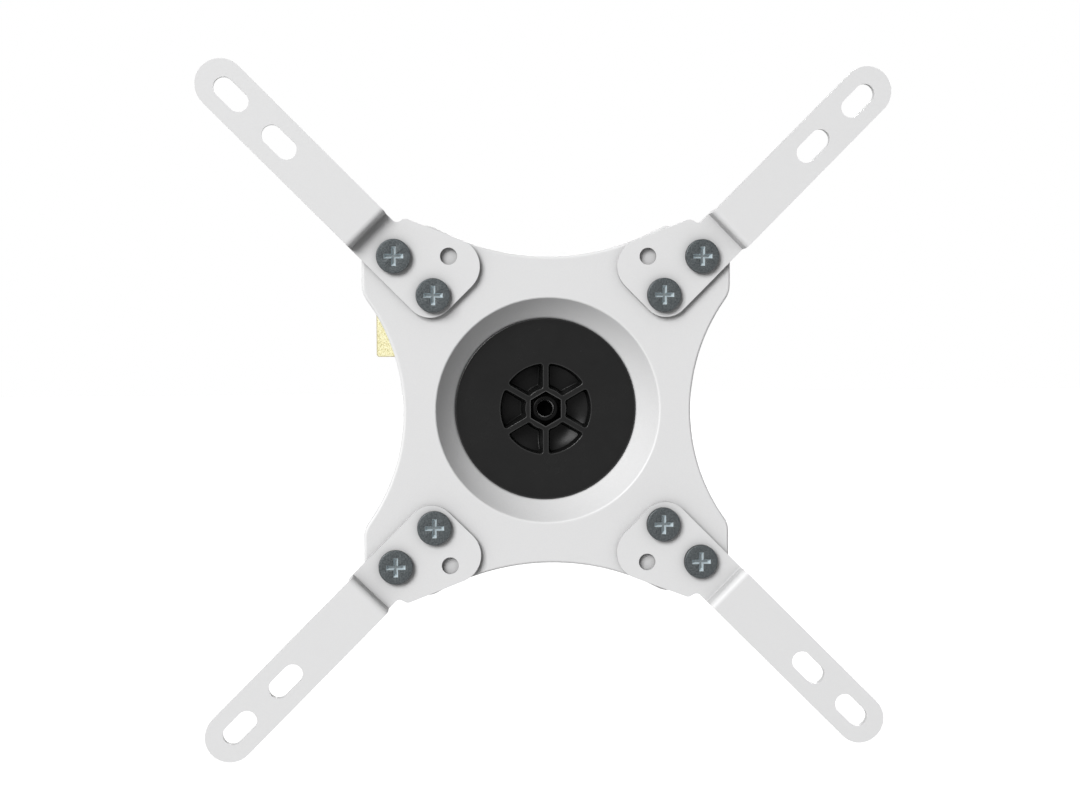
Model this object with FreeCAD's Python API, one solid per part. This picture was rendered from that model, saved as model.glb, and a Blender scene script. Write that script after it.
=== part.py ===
import FreeCAD, Part
import math
import os
from FreeCAD import Vector

# Swivel wall mount for a television, in millimetres.
# X runs to the right, Y into the wall, Z up. The wall face is Y = 0 and the screen looks along -Y.
# The origin is the middle of the upper pair of wall screw holes, on the wall face.

os.makedirs("parts", exist_ok=True)

# Running gaps and fits
SLIDE_GAP = 0.3
PIN_FIT = 0.06
SCREW_FIT = 0.05
BOLT_HOLE_GAP = 0.2

# Straight part left between the two corners of a fully round end
ROUND_END = 0.01

# Wall plate
WALL_SHEET = 3.0
WALL_HALF_WIDTH = 53.0
WALL_HEIGHT = 41.0
WALL_CORNER_R = 1.2
RAISED_HALF_WIDTH = 35.0
RAISED_OFFSET = 5.0
JOGGLE_RUN = 5.0
SHEET_BEND_R = 1.5
TONGUE_HALF_WIDTH = 25.0
TONGUE_BOTTOM_Z = -103.0
TONGUE_JOGGLE_Z = -86.0
TONGUE_CORNER_R = 5.0
TONGUE_ROOT_R = 4.0
WALL_HOLE_R = 3.3
WALL_HOLE_SPACING = 94.0
LOW_HOLE_SPACING = 28.0
LOW_HOLE_Z = -95.5

# Ball axis, below the upper wall screws
BALL_Z = -30.0

# Wall base: hooked web and pivot yoke
BASE_SHEET = 3.0
BASE_HALF_WIDTH = 38.0
BASE_BOTTOM_Z = -82.0
BASE_CORNER_R = 4.0
HOOK_INNER_X = 12.0
HOOK_OUTER_X = 31.0
HOOK_DROP = 9.0
HOOK_BEND_R = 1.0
YOKE_SHEET = 4.0
YOKE_HALF_HEIGHT = 40.0
YOKE_HALF_WIDTH = 22.0
YOKE_NOSE_R = 14.0
YOKE_BEND_R = 2.5
YOKE_CORNER_R = 2.0
EAR_SHOULDER_R = 6.0
EAR_WAIST_R = 10.0
EAR_WAIST_SHARE = 0.4
WALL_PIN_REACH = 26.0

# Lock screw, M6
LOCK_R = 3.0
LOCK_HEAD_R = 5.5
LOCK_HEAD_H = 3.2
LOCK_LENGTH = 9.0
LOCK_Z = -76.0
PRESS_NUT_R = 5.5
PRESS_NUT_H = 3.6
PRESS_NUT_FLANGE = 1.2
PRESS_NUT_EASE = 0.2

# Swing arm
ARM_LENGTH = 110.0
BARREL_R = 13.0
BARREL_BORE_R = 9.0
BARREL_EDGE_R = 0.8
BEAM_INSET = 1.5
BEAM_HALF_WIDTH = 10.5
BEAM_SHEET = 2.5
BEAM_LEVEL_RUN = 26.0
BEAM_EDGE_R = 12.0

# Flanged bushes
BUSH_FLANGE_R = 12.4
BUSH_FLANGE_T = 1.5
BUSH_LENGTH = 12.0
BUSH_EASE = 0.5
BUSH_FLANGE_EASE = 0.3

# Pivot bolts, nuts and washers
WALL_BOLT_R = 6.0
WALL_NUT_AF = 18.0
WALL_BOLT_HEAD_H = 5.0
WALL_NUT_H = 8.0
WALL_WASHER_R = 11.5
HEAD_BOLT_R = 5.0
HEAD_NUT_AF = 15.0
HEAD_BOLT_HEAD_H = 4.5
HEAD_NUT_H = 7.0
HEAD_WASHER_R = 9.5
PIVOT_WASHER_T = 1.5
WASHER_EASE_SHARE = 0.2
BOLT_END_PROUD = 1.5
BOLT_TIP_SHARE = 0.15
HEX_FACE_SHARE = 0.95
HEX_CORNER_SLOPE = 0.6
LOCK_NUT_HEX_SHARE = 0.7
COLLAR_SHARE = 0.45
COLLAR_TAPER = 0.4
COLLAR_EDGE_R = 0.8

# Head bracket
HEAD_SHEET = 4.0
HEAD_HALF_HEIGHT = 28.0
HEAD_HALF_WIDTH = 25.0
HEAD_NOSE_R = 14.0
HEAD_BEND_R = 2.5
HEAD_PIN_REACH = 23.0
HEAD_CORNER_R = 5.0

# Spherical clamp
BOWL_R = 43.2
DISH_R = 36.7
BOWL_HOLE_MARGIN = 1.5
RING_T = 1.2
CUP_BACK_T = 6.0
CUP_SET_IN = 0.2
CUP_RIM_WALL = 2.1
CUP_RIM_R = 1.5
CUP_RIM_DEPTH = 4.5
REAR_RING_MARGIN = 3.0
CLAMP_SWING = 12.0
SWING_MARGIN = 0.6

# Black front disc
DISC_R = 30.2
DISC_LIP_WIDTH = 3.2
DISC_EDGE_R = 0.2
DISC_BOSS_R = 5.5
DISC_BOSS_SEAT = 1.8
POCKET_INNER_R = 6.8
POCKET_OUTER_R = 15.0
POCKET_SPOKE_W = 1.9
POCKET_COUNT = 6
POCKET_SHALLOW = 3.4
POCKET_DEEP = 5.4
POCKET_DRAFT = 9.0
POCKET_CORNER_R = 0.9
POCKET_FLOOR_R = 0.4
POCKET_LIP_R = 0.25
POCKET_LEAD = 1.0
NUT_POCKET_AF = 10.1
NUT_POCKET_DEPTH = 6.0

# Clamp bolt, M6
CLAMP_R = 3.0
CLAMP_NUT_AF = 9.8
CLAMP_NUT_H = 4.8
CLAMP_END_SUNK = 1.5
CLAMP_HEAD_H = 3.6
CLAMP_WASHER_R = 6.0
CLAMP_WASHER_T = 1.0
SPRING_WASHER_R = 6.2
SPRING_WASHER_T = 0.6
SPRING_WASHER_CONE = 0.35

# Screen plate
PLATE_T = 2.5
PLATE_HALF = 60.0
SIDE_SCOOP_R = 62.0
SIDE_WAIST = 47.0
TOP_SCOOP_R = 77.0
TOP_WAIST = 50.0
SCOOP_CORNER_R = 8.0
PLATE_TIP_R = 12.0
PLATE_EDGE_R = 0.9
DISH_RIM_R = 0.6
DISH_BACK_R = 2.0

# Screen arms, measured from the outer screw along the arm
OUTER_SCREW = 50.0
INNER_SCREW = 37.5
ARM_T = 2.0
ARM_HALF_WIDTH = 8.0
ARM_RISE = 5.3
ARM_RISE_START = 13.0
ARM_RISE_RUN = 0.5
ARM_BEND_R = 0.2
OUTER_SLOT_PITCH = 100.0
INNER_SLOT_AT = 50.0
SLOT_W = 6.5
SLOT_LENGTH = 12.7
SLOT_END_MARGIN = 4.6
FOOT_END = 24.5
FOOT_END_R = 8.0
FOOT_LOBE_WIDTH = 24.8
FOOT_LOBE_R = 9.0
FOOT_SHOULDER_WIDTH = 11.2
FOOT_SHOULDER_AT = 5.9
FOOT_SHOULDER_R = 2.2
RELIEF_AT = 6.7
RELIEF_R = 1.8
ARM_HOLE_R = 2.75

# Arm screws and nuts, M5
SCREW_R = 2.45
SCREW_HEAD_R = 5.5
SCREW_HEAD_H = 2.0
SCREW_HEAD_EDGE_R = 0.4
SCREW_HEAD_DRAFT = 0.2
SCREW_LENGTH = 12.0
SCREW_TIP_SHARE = 0.2
CROSS_SPAN = 6.0
CROSS_WIDTH = 1.25
CROSS_DEPTH = 1.3
CROSS_TAPER = 0.45
CROSS_LEAD = 0.5
NUT_AF = 8.0
NUT_H = 4.0

# How near an edge or corner lies to the place it is looked for
SAME_PLACE = 0.01
SAME_PLANE = 0.0001

# Sizes that follow from those above
WALL_TOP_Z = WALL_HEIGHT / 2
BASE_BACK_Y = -(WALL_SHEET + RAISED_OFFSET)
BASE_FRONT_Y = BASE_BACK_Y - BASE_SHEET
WALL_PIN_Y = BASE_FRONT_Y - WALL_PIN_REACH
HEAD_PIN_Y = WALL_PIN_Y - ARM_LENGTH
HEAD_BACK_Y = HEAD_PIN_Y - HEAD_PIN_REACH
HEAD_FRONT_Y = HEAD_BACK_Y - HEAD_SHEET
BOWL_OUTER_R = BOWL_R + PLATE_T
REAR_RING_R = BOWL_OUTER_R + SLIDE_GAP
CUP_R = REAR_RING_R + RING_T + SLIDE_GAP
BALL_Y = HEAD_FRONT_Y - CUP_BACK_T - CUP_R
BOWL_CENTRE_AHEAD = math.sqrt(BOWL_R ** 2 - DISH_R ** 2)
PLATE_Y = BALL_Y + BOWL_CENTRE_AHEAD
CUP_OUTER_R = DISC_R - CUP_SET_IN
CUP_HALF_ANGLE = math.degrees(math.asin((CUP_OUTER_R - CUP_RIM_WALL) / CUP_R))
REAR_RING_HALF_ANGLE = CUP_HALF_ANGLE - REAR_RING_MARGIN
FRONT_RING_R = BOWL_R - SLIDE_GAP
DISC_LIP_R = FRONT_RING_R
DISC_BACK_R = FRONT_RING_R - RING_T - SLIDE_GAP
DISC_FACE = math.sqrt(DISC_LIP_R ** 2 - DISC_R ** 2)
DISC_FACE_Y = BALL_Y + DISC_FACE
LIP_ANGLE = math.degrees(math.asin(DISC_R / DISC_LIP_R))
STEP_ANGLE = LIP_ANGLE - math.degrees(DISC_LIP_WIDTH / DISC_LIP_R)
BOSS_ANGLE = math.degrees(math.asin(DISC_BOSS_R / DISC_BACK_R))
HOLE_ANGLE = BOSS_ANGLE + CLAMP_SWING * math.sqrt(2) + BOWL_HOLE_MARGIN
BOWL_HOLE_R = BOWL_R * math.sin(math.radians(HOLE_ANGLE))
BALL = Vector(0, BALL_Y, BALL_Z)
TOWARD_WALL = Vector(0, 1, 0)
UP = Vector(0, 0, 1)


def rounded_wire(corners, place):
    """Closed outline through (u, v, radius) corners, put in space by place(u, v)."""
    edges = []
    count = len(corners)
    rounds = []
    for index in range(count):
        u, v, radius = corners[index]
        corner = Vector(u, v, 0)
        last = corners[index - 1]
        following = corners[(index + 1) % count]
        to_last = (Vector(last[0], last[1], 0) - corner).normalize()
        to_next = (Vector(following[0], following[1], 0) - corner).normalize()
        half_angle = to_last.getAngle(to_next) / 2
        reach = radius / math.tan(half_angle)
        inward = (to_last + to_next).normalize()
        middle = corner + inward * (radius / math.sin(half_angle) - radius)
        rounds.append((corner + to_last * reach, middle, corner + to_next * reach, radius))
    for index in range(count):
        start, middle, end, radius = rounds[index]
        if radius > 0:
            spots = [place(spot.x, spot.y) for spot in (start, middle, end)]
            edges.append(Part.Arc(*spots).toShape())
        next_start = rounds[(index + 1) % count][0]
        if (next_start - end).Length > SAME_PLANE:
            edges.append(Part.makeLine(place(end.x, end.y), place(next_start.x, next_start.y)))
    return Part.Wire(edges)


def prism(corners, place, direction):
    """Solid swept from a rounded outline along a direction."""
    return Part.Face(rounded_wire(corners, place)).extrude(direction)


def in_front(y):
    """Placement of an outline drawn in X and Z at a depth y."""
    return lambda x, z: Vector(x, y, z)


def in_plan(z):
    """Placement of an outline drawn in X and Y at a height z."""
    return lambda x, y: Vector(x, y, z)


def in_side(x):
    """Placement of an outline drawn in Y and Z at a position x."""
    return lambda y, z: Vector(x, y, z)


def mirrored_x(shape):
    """Copy of a shape on the other side of the middle plane."""
    return shape.mirror(Vector(0, 0, 0), Vector(1, 0, 0))


def clean(shape):
    """Single tidy solid, with the seams left by joining taken out."""
    return shape.removeSplitter()


def rod(radius, length, foot, direction):
    """Cylinder from its foot along a direction."""
    return Part.makeCylinder(radius, length, foot, direction)


def hexagon(across_flats, height, foot, direction, chamfer=True):
    """Hexagon prism with points along the first upright direction, its corners turned off at both ends."""
    corner_r = across_flats / math.sqrt(3)
    corners = []
    for step in range(6):
        angle = math.radians(60 * step + 90)
        corners.append((corner_r * math.cos(angle), corner_r * math.sin(angle), 0))
    shape = prism(corners, in_plan(0), Vector(0, 0, height))
    if chamfer:
        slope = (corner_r - across_flats / 2) * HEX_CORNER_SLOPE
        face_r = across_flats / 2 * HEX_FACE_SHARE
        outline = [(0, 0, 0), (face_r, 0, 0), (corner_r, slope, 0), (corner_r, height - slope, 0)]
        outline += [(face_r, height, 0), (0, height, 0)]
        shape = shape.common(turned(outline, Vector(0, 0, 0), UP))
    shape.Placement = FreeCAD.Placement(foot, FreeCAD.Rotation(UP, direction))
    return shape


def turned(corners, foot, direction):
    """Solid turned from (radius, height) corners about an axis from its foot."""
    wire = rounded_wire(corners, in_side(0))
    shape = Part.Face(wire).revolve(Vector(0, 0, 0), UP, 360)
    shape.Placement = FreeCAD.Placement(foot, FreeCAD.Rotation(UP, direction))
    return shape


def hex_bolt(radius, across_flats, head_h, length, seat, direction):
    """Bolt whose head sits behind its seat, with a chamfered shank along the direction."""
    head = hexagon(across_flats, head_h, seat - direction * head_h, direction)
    tip = radius * BOLT_TIP_SHARE
    shank = [(0, 0, 0), (radius, 0, 0), (radius, length - tip, 0)]
    shank += [(radius - tip, length, 0), (0, length, 0)]
    return clean(head.fuse(turned(shank, seat, direction)))


def hex_nut(radius, across_flats, height, foot, direction):
    """Nut on a shank of the given radius."""
    bore = rod(radius + SCREW_FIT, height * 3, foot - direction * height, direction)
    return hexagon(across_flats, height, foot, direction).cut(bore)


def lock_nut(radius, across_flats, height, foot, direction):
    """Nut with a rounded collar that grips the thread."""
    hex_h = height * LOCK_NUT_HEX_SHARE
    nut = hex_nut(radius, across_flats, hex_h, foot, direction)
    bore_r = radius + SCREW_FIT
    collar_r = across_flats * COLLAR_SHARE
    collar = [(bore_r, hex_h, 0), (collar_r, hex_h, 0), (collar_r - COLLAR_TAPER, height, COLLAR_EDGE_R)]
    collar.append((bore_r, height, 0))
    return clean(nut.fuse(turned(collar, foot, direction)))


def washer(inner_r, outer_r, thickness, foot, direction):
    """Flat washer with eased outer corners."""
    ease = thickness * WASHER_EASE_SHARE
    outline = [(inner_r, 0, 0), (outer_r, 0, ease), (outer_r, thickness, ease), (inner_r, thickness, 0)]
    return turned(outline, foot, direction)


def cross_recess(mouth, direction):
    """Cross shaped driver recess that narrows with depth, from the mouth along the direction."""
    floor = mouth + direction * CROSS_DEPTH
    lead = mouth - direction * CROSS_LEAD
    cross = None
    for across, along in ((CROSS_WIDTH, CROSS_SPAN), (CROSS_SPAN, CROSS_WIDTH)):
        rims = []
        for middle, taper in ((lead, 0), (floor, CROSS_TAPER)):
            half_x = across / 2 - taper
            half_z = along / 2 - taper
            corners = [Vector(-half_x, 0, -half_z), Vector(half_x, 0, -half_z)]
            corners += [Vector(half_x, 0, half_z), Vector(-half_x, 0, half_z)]
            rims.append(Part.makePolygon([middle + corner for corner in corners + corners[:1]]))
        blade = Part.makeLoft(rims, True)
        cross = blade if cross is None else cross.fuse(blade)
    return cross


def pan_screw(radius, head_r, head_h, length, seat):
    """Pan head cross recess screw, its head toward the screen and its shank toward the wall."""
    tip = radius * SCREW_TIP_SHARE
    outline = [(0, -head_h, 0), (head_r - SCREW_HEAD_DRAFT, -head_h, SCREW_HEAD_EDGE_R), (head_r, 0, 0)]
    outline += [(radius, 0, 0), (radius, length - tip, 0), (radius - tip, length, 0), (0, length, 0)]
    screw = turned(outline, seat, TOWARD_WALL)
    return screw.cut(cross_recess(seat - TOWARD_WALL * head_h, TOWARD_WALL))


def mirrored_outline(half):
    """Outline corners followed by their mirror images in reverse order."""
    return half + [(-u, v, radius) for u, v, radius in reversed(half)]


def joggle(outer_at, inner_at, rise, sheet, bend_r):
    """Four corners of a sheet stepping from 0 at outer_at to -rise at inner_at, back face first."""
    run = abs(outer_at - inner_at)
    shift = sheet * math.tan(math.atan2(rise, run) / 2)
    if outer_at < inner_at:
        shift = -shift
    back = [(inner_at, -rise, bend_r), (outer_at, 0, bend_r + sheet)]
    front = [(outer_at + shift, -sheet, bend_r), (inner_at + shift, -rise - sheet, bend_r + sheet)]
    return back, front


def wall_plate():
    """Steel plate on the wall: flat ears, and a raised middle that the base hooks onto."""
    reach = RAISED_HALF_WIDTH + JOGGLE_RUN
    edge = WALL_HALF_WIDTH
    back, front = joggle(reach, RAISED_HALF_WIDTH, RAISED_OFFSET, WALL_SHEET, SHEET_BEND_R)
    section = mirrored_outline(back + [(edge, 0, 0), (edge, -WALL_SHEET, 0)] + front)
    split_z = TONGUE_JOGGLE_Z + TONGUE_ROOT_R
    plate = prism(section, in_plan(split_z), Vector(0, 0, WALL_TOP_Z - split_z))
    tongue = TONGUE_HALF_WIDTH
    heel_z = TONGUE_JOGGLE_Z - JOGGLE_RUN
    back, front = joggle(heel_z, TONGUE_JOGGLE_Z, RAISED_OFFSET, WALL_SHEET, SHEET_BEND_R)
    step = [(split_z, -RAISED_OFFSET, 0)] + back
    step += [(TONGUE_BOTTOM_Z, 0, 0), (TONGUE_BOTTOM_Z, -WALL_SHEET, 0)]
    step += front + [(split_z, -RAISED_OFFSET - WALL_SHEET, 0)]
    side_view = [(y, z, radius) for z, y, radius in step]
    foot = prism(side_view, in_side(-tongue), Vector(2 * tongue, 0, 0))
    half = [(tongue, TONGUE_BOTTOM_Z, TONGUE_CORNER_R), (tongue, -WALL_TOP_Z, TONGUE_ROOT_R)]
    half += [(edge, -WALL_TOP_Z, WALL_CORNER_R), (edge, WALL_TOP_Z, WALL_CORNER_R)]
    depth = RAISED_OFFSET + WALL_SHEET
    outline = prism(mirrored_outline(half), in_front(-depth), Vector(0, depth, 0))
    plate = plate.fuse(foot).common(outline)
    for side in (-1, 1):
        high = Vector(side * WALL_HOLE_SPACING / 2, -depth, 0)
        low = Vector(side * LOW_HOLE_SPACING / 2, -depth, LOW_HOLE_Z)
        plate = plate.cut(rod(WALL_HOLE_R, depth, high, TOWARD_WALL))
        plate = plate.cut(rod(WALL_HOLE_R, depth, low, TOWARD_WALL))
    plate = plate.cut(rod(PRESS_NUT_R, depth, Vector(0, -depth, LOCK_Z), TOWARD_WALL))
    return clean(plate)


def press_nut():
    """Round nut pressed into the raised tongue for the lock screw."""
    bore_r = LOCK_R + SCREW_FIT
    flange_r = PRESS_NUT_R + PRESS_NUT_FLANGE
    outline = [(bore_r, 0, PRESS_NUT_EASE), (PRESS_NUT_R, 0, 0), (PRESS_NUT_R, WALL_SHEET, 0)]
    outline += [(flange_r, WALL_SHEET, 0), (flange_r, PRESS_NUT_H, PRESS_NUT_EASE)]
    outline.append((bore_r, PRESS_NUT_H, 0))
    return turned(outline, Vector(0, BASE_BACK_Y, LOCK_Z), TOWARD_WALL)


def yoke(sheet, half_height, half_width, nose_r, bend_r, pin_y, back_y, corner_r):
    """Folded U of sheet with rounded ears round an upright pin; back_y is the outer face of its web."""
    ahead = math.copysign(1, back_y - pin_y)
    nose_y = pin_y - ahead * nose_r
    web_y = back_y - ahead * sheet
    outer_r = bend_r + sheet
    outer = half_height
    inner = half_height - sheet
    section = [(back_y, outer, outer_r), (back_y, -outer, outer_r), (nose_y, -outer, 0), (nose_y, -inner, 0)]
    section += [(web_y, -inner, bend_r), (web_y, inner, bend_r), (nose_y, inner, 0), (nose_y, outer, 0)]
    shape = prism(section, in_side(-half_width), Vector(2 * half_width, 0, 0))
    shape.translate(Vector(0, 0, BALL_Z))
    straight_y = web_y - ahead * bend_r
    waist_y = pin_y + ahead * nose_r * EAR_WAIST_SHARE
    half = [(half_width, back_y, 0), (half_width, straight_y, EAR_SHOULDER_R)]
    half += [(nose_r, waist_y, EAR_WAIST_R), (nose_r, nose_y, nose_r - ROUND_END)]
    plan = mirrored_outline(half)
    shape = shape.common(prism(plan, in_plan(BALL_Z - outer), Vector(0, 0, 2 * outer)))
    face = [(-half_width, -outer, corner_r), (half_width, -outer, corner_r)]
    face += [(half_width, outer, corner_r), (-half_width, outer, corner_r)]
    near_y = min(back_y, nose_y)
    window = prism(face, in_front(near_y), Vector(0, abs(back_y - nose_y), 0))
    window.translate(Vector(0, 0, BALL_Z))
    return shape.common(window)


def wall_base():
    """White base: a flat web with two hooks over the wall plate and a welded pivot yoke."""
    top_z = WALL_TOP_Z + BASE_SHEET
    half = [(BASE_HALF_WIDTH, BASE_BOTTOM_Z, BASE_CORNER_R), (BASE_HALF_WIDTH, top_z, BASE_CORNER_R)]
    base = prism(mirrored_outline(half), in_front(BASE_FRONT_Y), Vector(0, BASE_SHEET, 0))
    inner_y = BASE_BACK_Y + WALL_SHEET + SLIDE_GAP * 2
    outer_y = inner_y + BASE_SHEET
    bend = HOOK_BEND_R
    drop_z = WALL_TOP_Z - HOOK_DROP
    hook = [(BASE_FRONT_Y, drop_z, 0), (BASE_FRONT_Y, top_z, 0), (outer_y, top_z, bend + BASE_SHEET)]
    hook += [(outer_y, drop_z, bend), (inner_y, drop_z, 0), (inner_y, WALL_TOP_Z, bend / 2)]
    hook += [(BASE_BACK_Y, WALL_TOP_Z, 0), (BASE_BACK_Y, drop_z, 0)]
    hook_width = Vector(HOOK_OUTER_X - HOOK_INNER_X, 0, 0)
    hooks = prism(hook, in_side(HOOK_INNER_X), hook_width)
    base = base.fuse(hooks).fuse(mirrored_x(hooks))
    front = yoke(YOKE_SHEET, YOKE_HALF_HEIGHT, YOKE_HALF_WIDTH, YOKE_NOSE_R, YOKE_BEND_R, WALL_PIN_Y,
                 BASE_FRONT_Y, YOKE_CORNER_R)
    base = base.fuse(front)
    for z in (BALL_Z - YOKE_HALF_HEIGHT, BALL_Z + YOKE_HALF_HEIGHT - YOKE_SHEET):
        hole = rod(WALL_BOLT_R + BOLT_HOLE_GAP, YOKE_SHEET, Vector(0, WALL_PIN_Y, z), UP)
        base = base.cut(hole)
    lock_hole = rod(LOCK_R + BOLT_HOLE_GAP, BASE_SHEET, Vector(0, BASE_FRONT_Y, LOCK_Z), TOWARD_WALL)
    return clean(base.cut(lock_hole))


def lock_screw():
    """Pan head screw through the foot of the base into the press nut."""
    seat = Vector(0, BASE_FRONT_Y, LOCK_Z)
    return pan_screw(LOCK_R, LOCK_HEAD_R, LOCK_HEAD_H, LOCK_LENGTH, seat)


def pivot_bolt(radius, across_flats, head_h, nut_h, half_height, pin_y):
    """Upright pivot bolt from a washer over the top ear to past the nut under the bottom ear."""
    seat_z = BALL_Z + half_height + PIVOT_WASHER_T
    length = 2 * (half_height + PIVOT_WASHER_T) + nut_h + BOLT_END_PROUD
    return hex_bolt(radius, across_flats, head_h, length, Vector(0, pin_y, seat_z), -UP)


def pivot_nut(radius, across_flats, height, half_height, pin_y):
    """Lock nut under the bottom ear."""
    foot = Vector(0, pin_y, BALL_Z - half_height - PIVOT_WASHER_T)
    return lock_nut(radius, across_flats, height, foot, -UP)


def pivot_washers(radius, outer_r, half_height, pin_y):
    """Washers over the top ear and under the bottom ear."""
    top = Vector(0, pin_y, BALL_Z + half_height)
    bottom = Vector(0, pin_y, BALL_Z - half_height)
    pair = [washer(radius + BOLT_HOLE_GAP, outer_r, PIVOT_WASHER_T, top, UP)]
    pair.append(washer(radius + BOLT_HOLE_GAP, outer_r, PIVOT_WASHER_T, bottom, -UP))
    return Part.makeCompound(pair)


def barrel_half(ear_half_height, ear_sheet):
    """Half height of an arm barrel that fits between two ears with its bush flanges."""
    return ear_half_height - ear_sheet - SLIDE_GAP - BUSH_FLANGE_T


def bush(pin_r, half_height, pin_y, side):
    """Flanged bush pressed into one end of a barrel, its flange outwards."""
    foot = Vector(0, pin_y, BALL_Z + side * (half_height + BUSH_FLANGE_T))
    bore = pin_r + PIN_FIT
    seat_r = BARREL_BORE_R - SCREW_FIT
    outline = [(bore, 0, BUSH_EASE), (BUSH_FLANGE_R, 0, BUSH_FLANGE_EASE)]
    outline += [(BUSH_FLANGE_R, BUSH_FLANGE_T, BUSH_FLANGE_EASE)]
    outline += [(seat_r, BUSH_FLANGE_T, 0), (seat_r, BUSH_LENGTH, BUSH_EASE), (bore, BUSH_LENGTH, 0)]
    return turned(outline, foot, -UP * side)


def swing_arm():
    """Welded arm: a tapered channel, open underneath, between two upright barrels."""
    wall_half = barrel_half(YOKE_HALF_HEIGHT, YOKE_SHEET)
    head_half = barrel_half(HEAD_HALF_HEIGHT, HEAD_SHEET)
    wall_edge = wall_half - BEAM_INSET
    head_edge = head_half - BEAM_INSET
    taper_back = WALL_PIN_Y - BEAM_LEVEL_RUN
    taper_front = HEAD_PIN_Y + BEAM_LEVEL_RUN
    half = [(WALL_PIN_Y, wall_edge, 0), (taper_back, wall_edge, BEAM_EDGE_R)]
    half += [(taper_front, head_edge, BEAM_EDGE_R), (HEAD_PIN_Y, head_edge, 0)]
    outline = half + [(y, -z, r) for y, z, r in reversed(half)]
    beam = prism(outline, in_side(-BEAM_HALF_WIDTH), Vector(2 * BEAM_HALF_WIDTH, 0, 0))
    inside = [(y, z - BEAM_SHEET, r) for y, z, r in half]
    inside += [(y, -z - 2 * BEAM_SHEET, r) for y, z, r in reversed(half)]
    inner_half = BEAM_HALF_WIDTH - BEAM_SHEET
    hollow = prism(inside, in_side(-inner_half), Vector(2 * inner_half, 0, 0))
    beam = beam.cut(hollow)
    beam.translate(Vector(0, 0, BALL_Z))
    arm = beam
    bores = []
    for pin_y, half_height in ((WALL_PIN_Y, wall_half), (HEAD_PIN_Y, head_half)):
        foot = Vector(0, pin_y, BALL_Z - half_height)
        outline = [(0, 0, 0), (BARREL_R, 0, BARREL_EDGE_R), (BARREL_R, 2 * half_height, BARREL_EDGE_R)]
        outline.append((0, 2 * half_height, 0))
        arm = arm.fuse(turned(outline, foot, UP))
        bores.append(rod(BARREL_BORE_R, 2 * half_height, foot, UP))
    for bore in bores:
        arm = arm.cut(bore)
    return clean(arm)


def head_bracket():
    """Folded bracket that turns on the front barrel and carries the clamp on its web."""
    bracket = yoke(HEAD_SHEET, HEAD_HALF_HEIGHT, HEAD_HALF_WIDTH, HEAD_NOSE_R, HEAD_BEND_R, HEAD_PIN_Y,
                   HEAD_FRONT_Y, HEAD_CORNER_R)
    for z in (BALL_Z - HEAD_HALF_HEIGHT, BALL_Z + HEAD_HALF_HEIGHT - HEAD_SHEET):
        bracket = bracket.cut(rod(HEAD_BOLT_R + BOLT_HOLE_GAP, HEAD_SHEET, Vector(0, HEAD_PIN_Y, z), UP))
    hole = rod(CLAMP_R + BOLT_HOLE_GAP, HEAD_SHEET, Vector(0, HEAD_FRONT_Y, BALL_Z), TOWARD_WALL)
    return clean(bracket.cut(hole))


def on_sphere(radius, angle):
    """Point (radius from the axis, depth behind the ball centre) at an angle from the clamp axis."""
    return radius * math.sin(math.radians(angle)), radius * math.cos(math.radians(angle))


def sphere_arc(radius, start_angle, end_angle):
    """Arc on a sphere round the ball centre, in the turning plane of the clamp axis."""
    spots = []
    for angle in (start_angle, (start_angle + end_angle) / 2, end_angle):
        out, depth = on_sphere(radius, angle)
        spots.append(Vector(out, depth, 0))
    return Part.Arc(*spots).toShape()


def turned_on_ball(edges):
    """Solid turned about the clamp axis from edges drawn from the ball centre."""
    face = Part.Face(Part.Wire(Part.__sortEdges__(edges)))
    shape = face.revolve(Vector(0, 0, 0), TOWARD_WALL, 360)
    shape.translate(BALL)
    return shape


def line(first, second):
    """Edge between two (radius, depth) points of a turning outline."""
    return Part.makeLine(Vector(first[0], first[1], 0), Vector(second[0], second[1], 0))


def ball_ring(inner_r, start_angle, end_angle):
    """Thin spherical ring round the ball centre between two angles."""
    outer_r = inner_r + RING_T
    edges = [sphere_arc(inner_r, start_angle, end_angle), sphere_arc(outer_r, start_angle, end_angle)]
    edges.append(line(on_sphere(inner_r, start_angle), on_sphere(outer_r, start_angle)))
    edges.append(line(on_sphere(inner_r, end_angle), on_sphere(outer_r, end_angle)))
    return turned_on_ball(edges)


def front_friction_ring():
    """Ring between the front disc and the dish."""
    swing = CLAMP_SWING + SWING_MARGIN
    return ball_ring(FRONT_RING_R - RING_T, BOSS_ANGLE + swing, STEP_ANGLE - swing)


def rear_friction_ring():
    """Ring on the back of the dish, round its hole."""
    start_angle = math.degrees(math.asin(BOWL_HOLE_R / REAR_RING_R))
    return ball_ring(REAR_RING_R, start_angle, REAR_RING_HALF_ANGLE)


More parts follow.
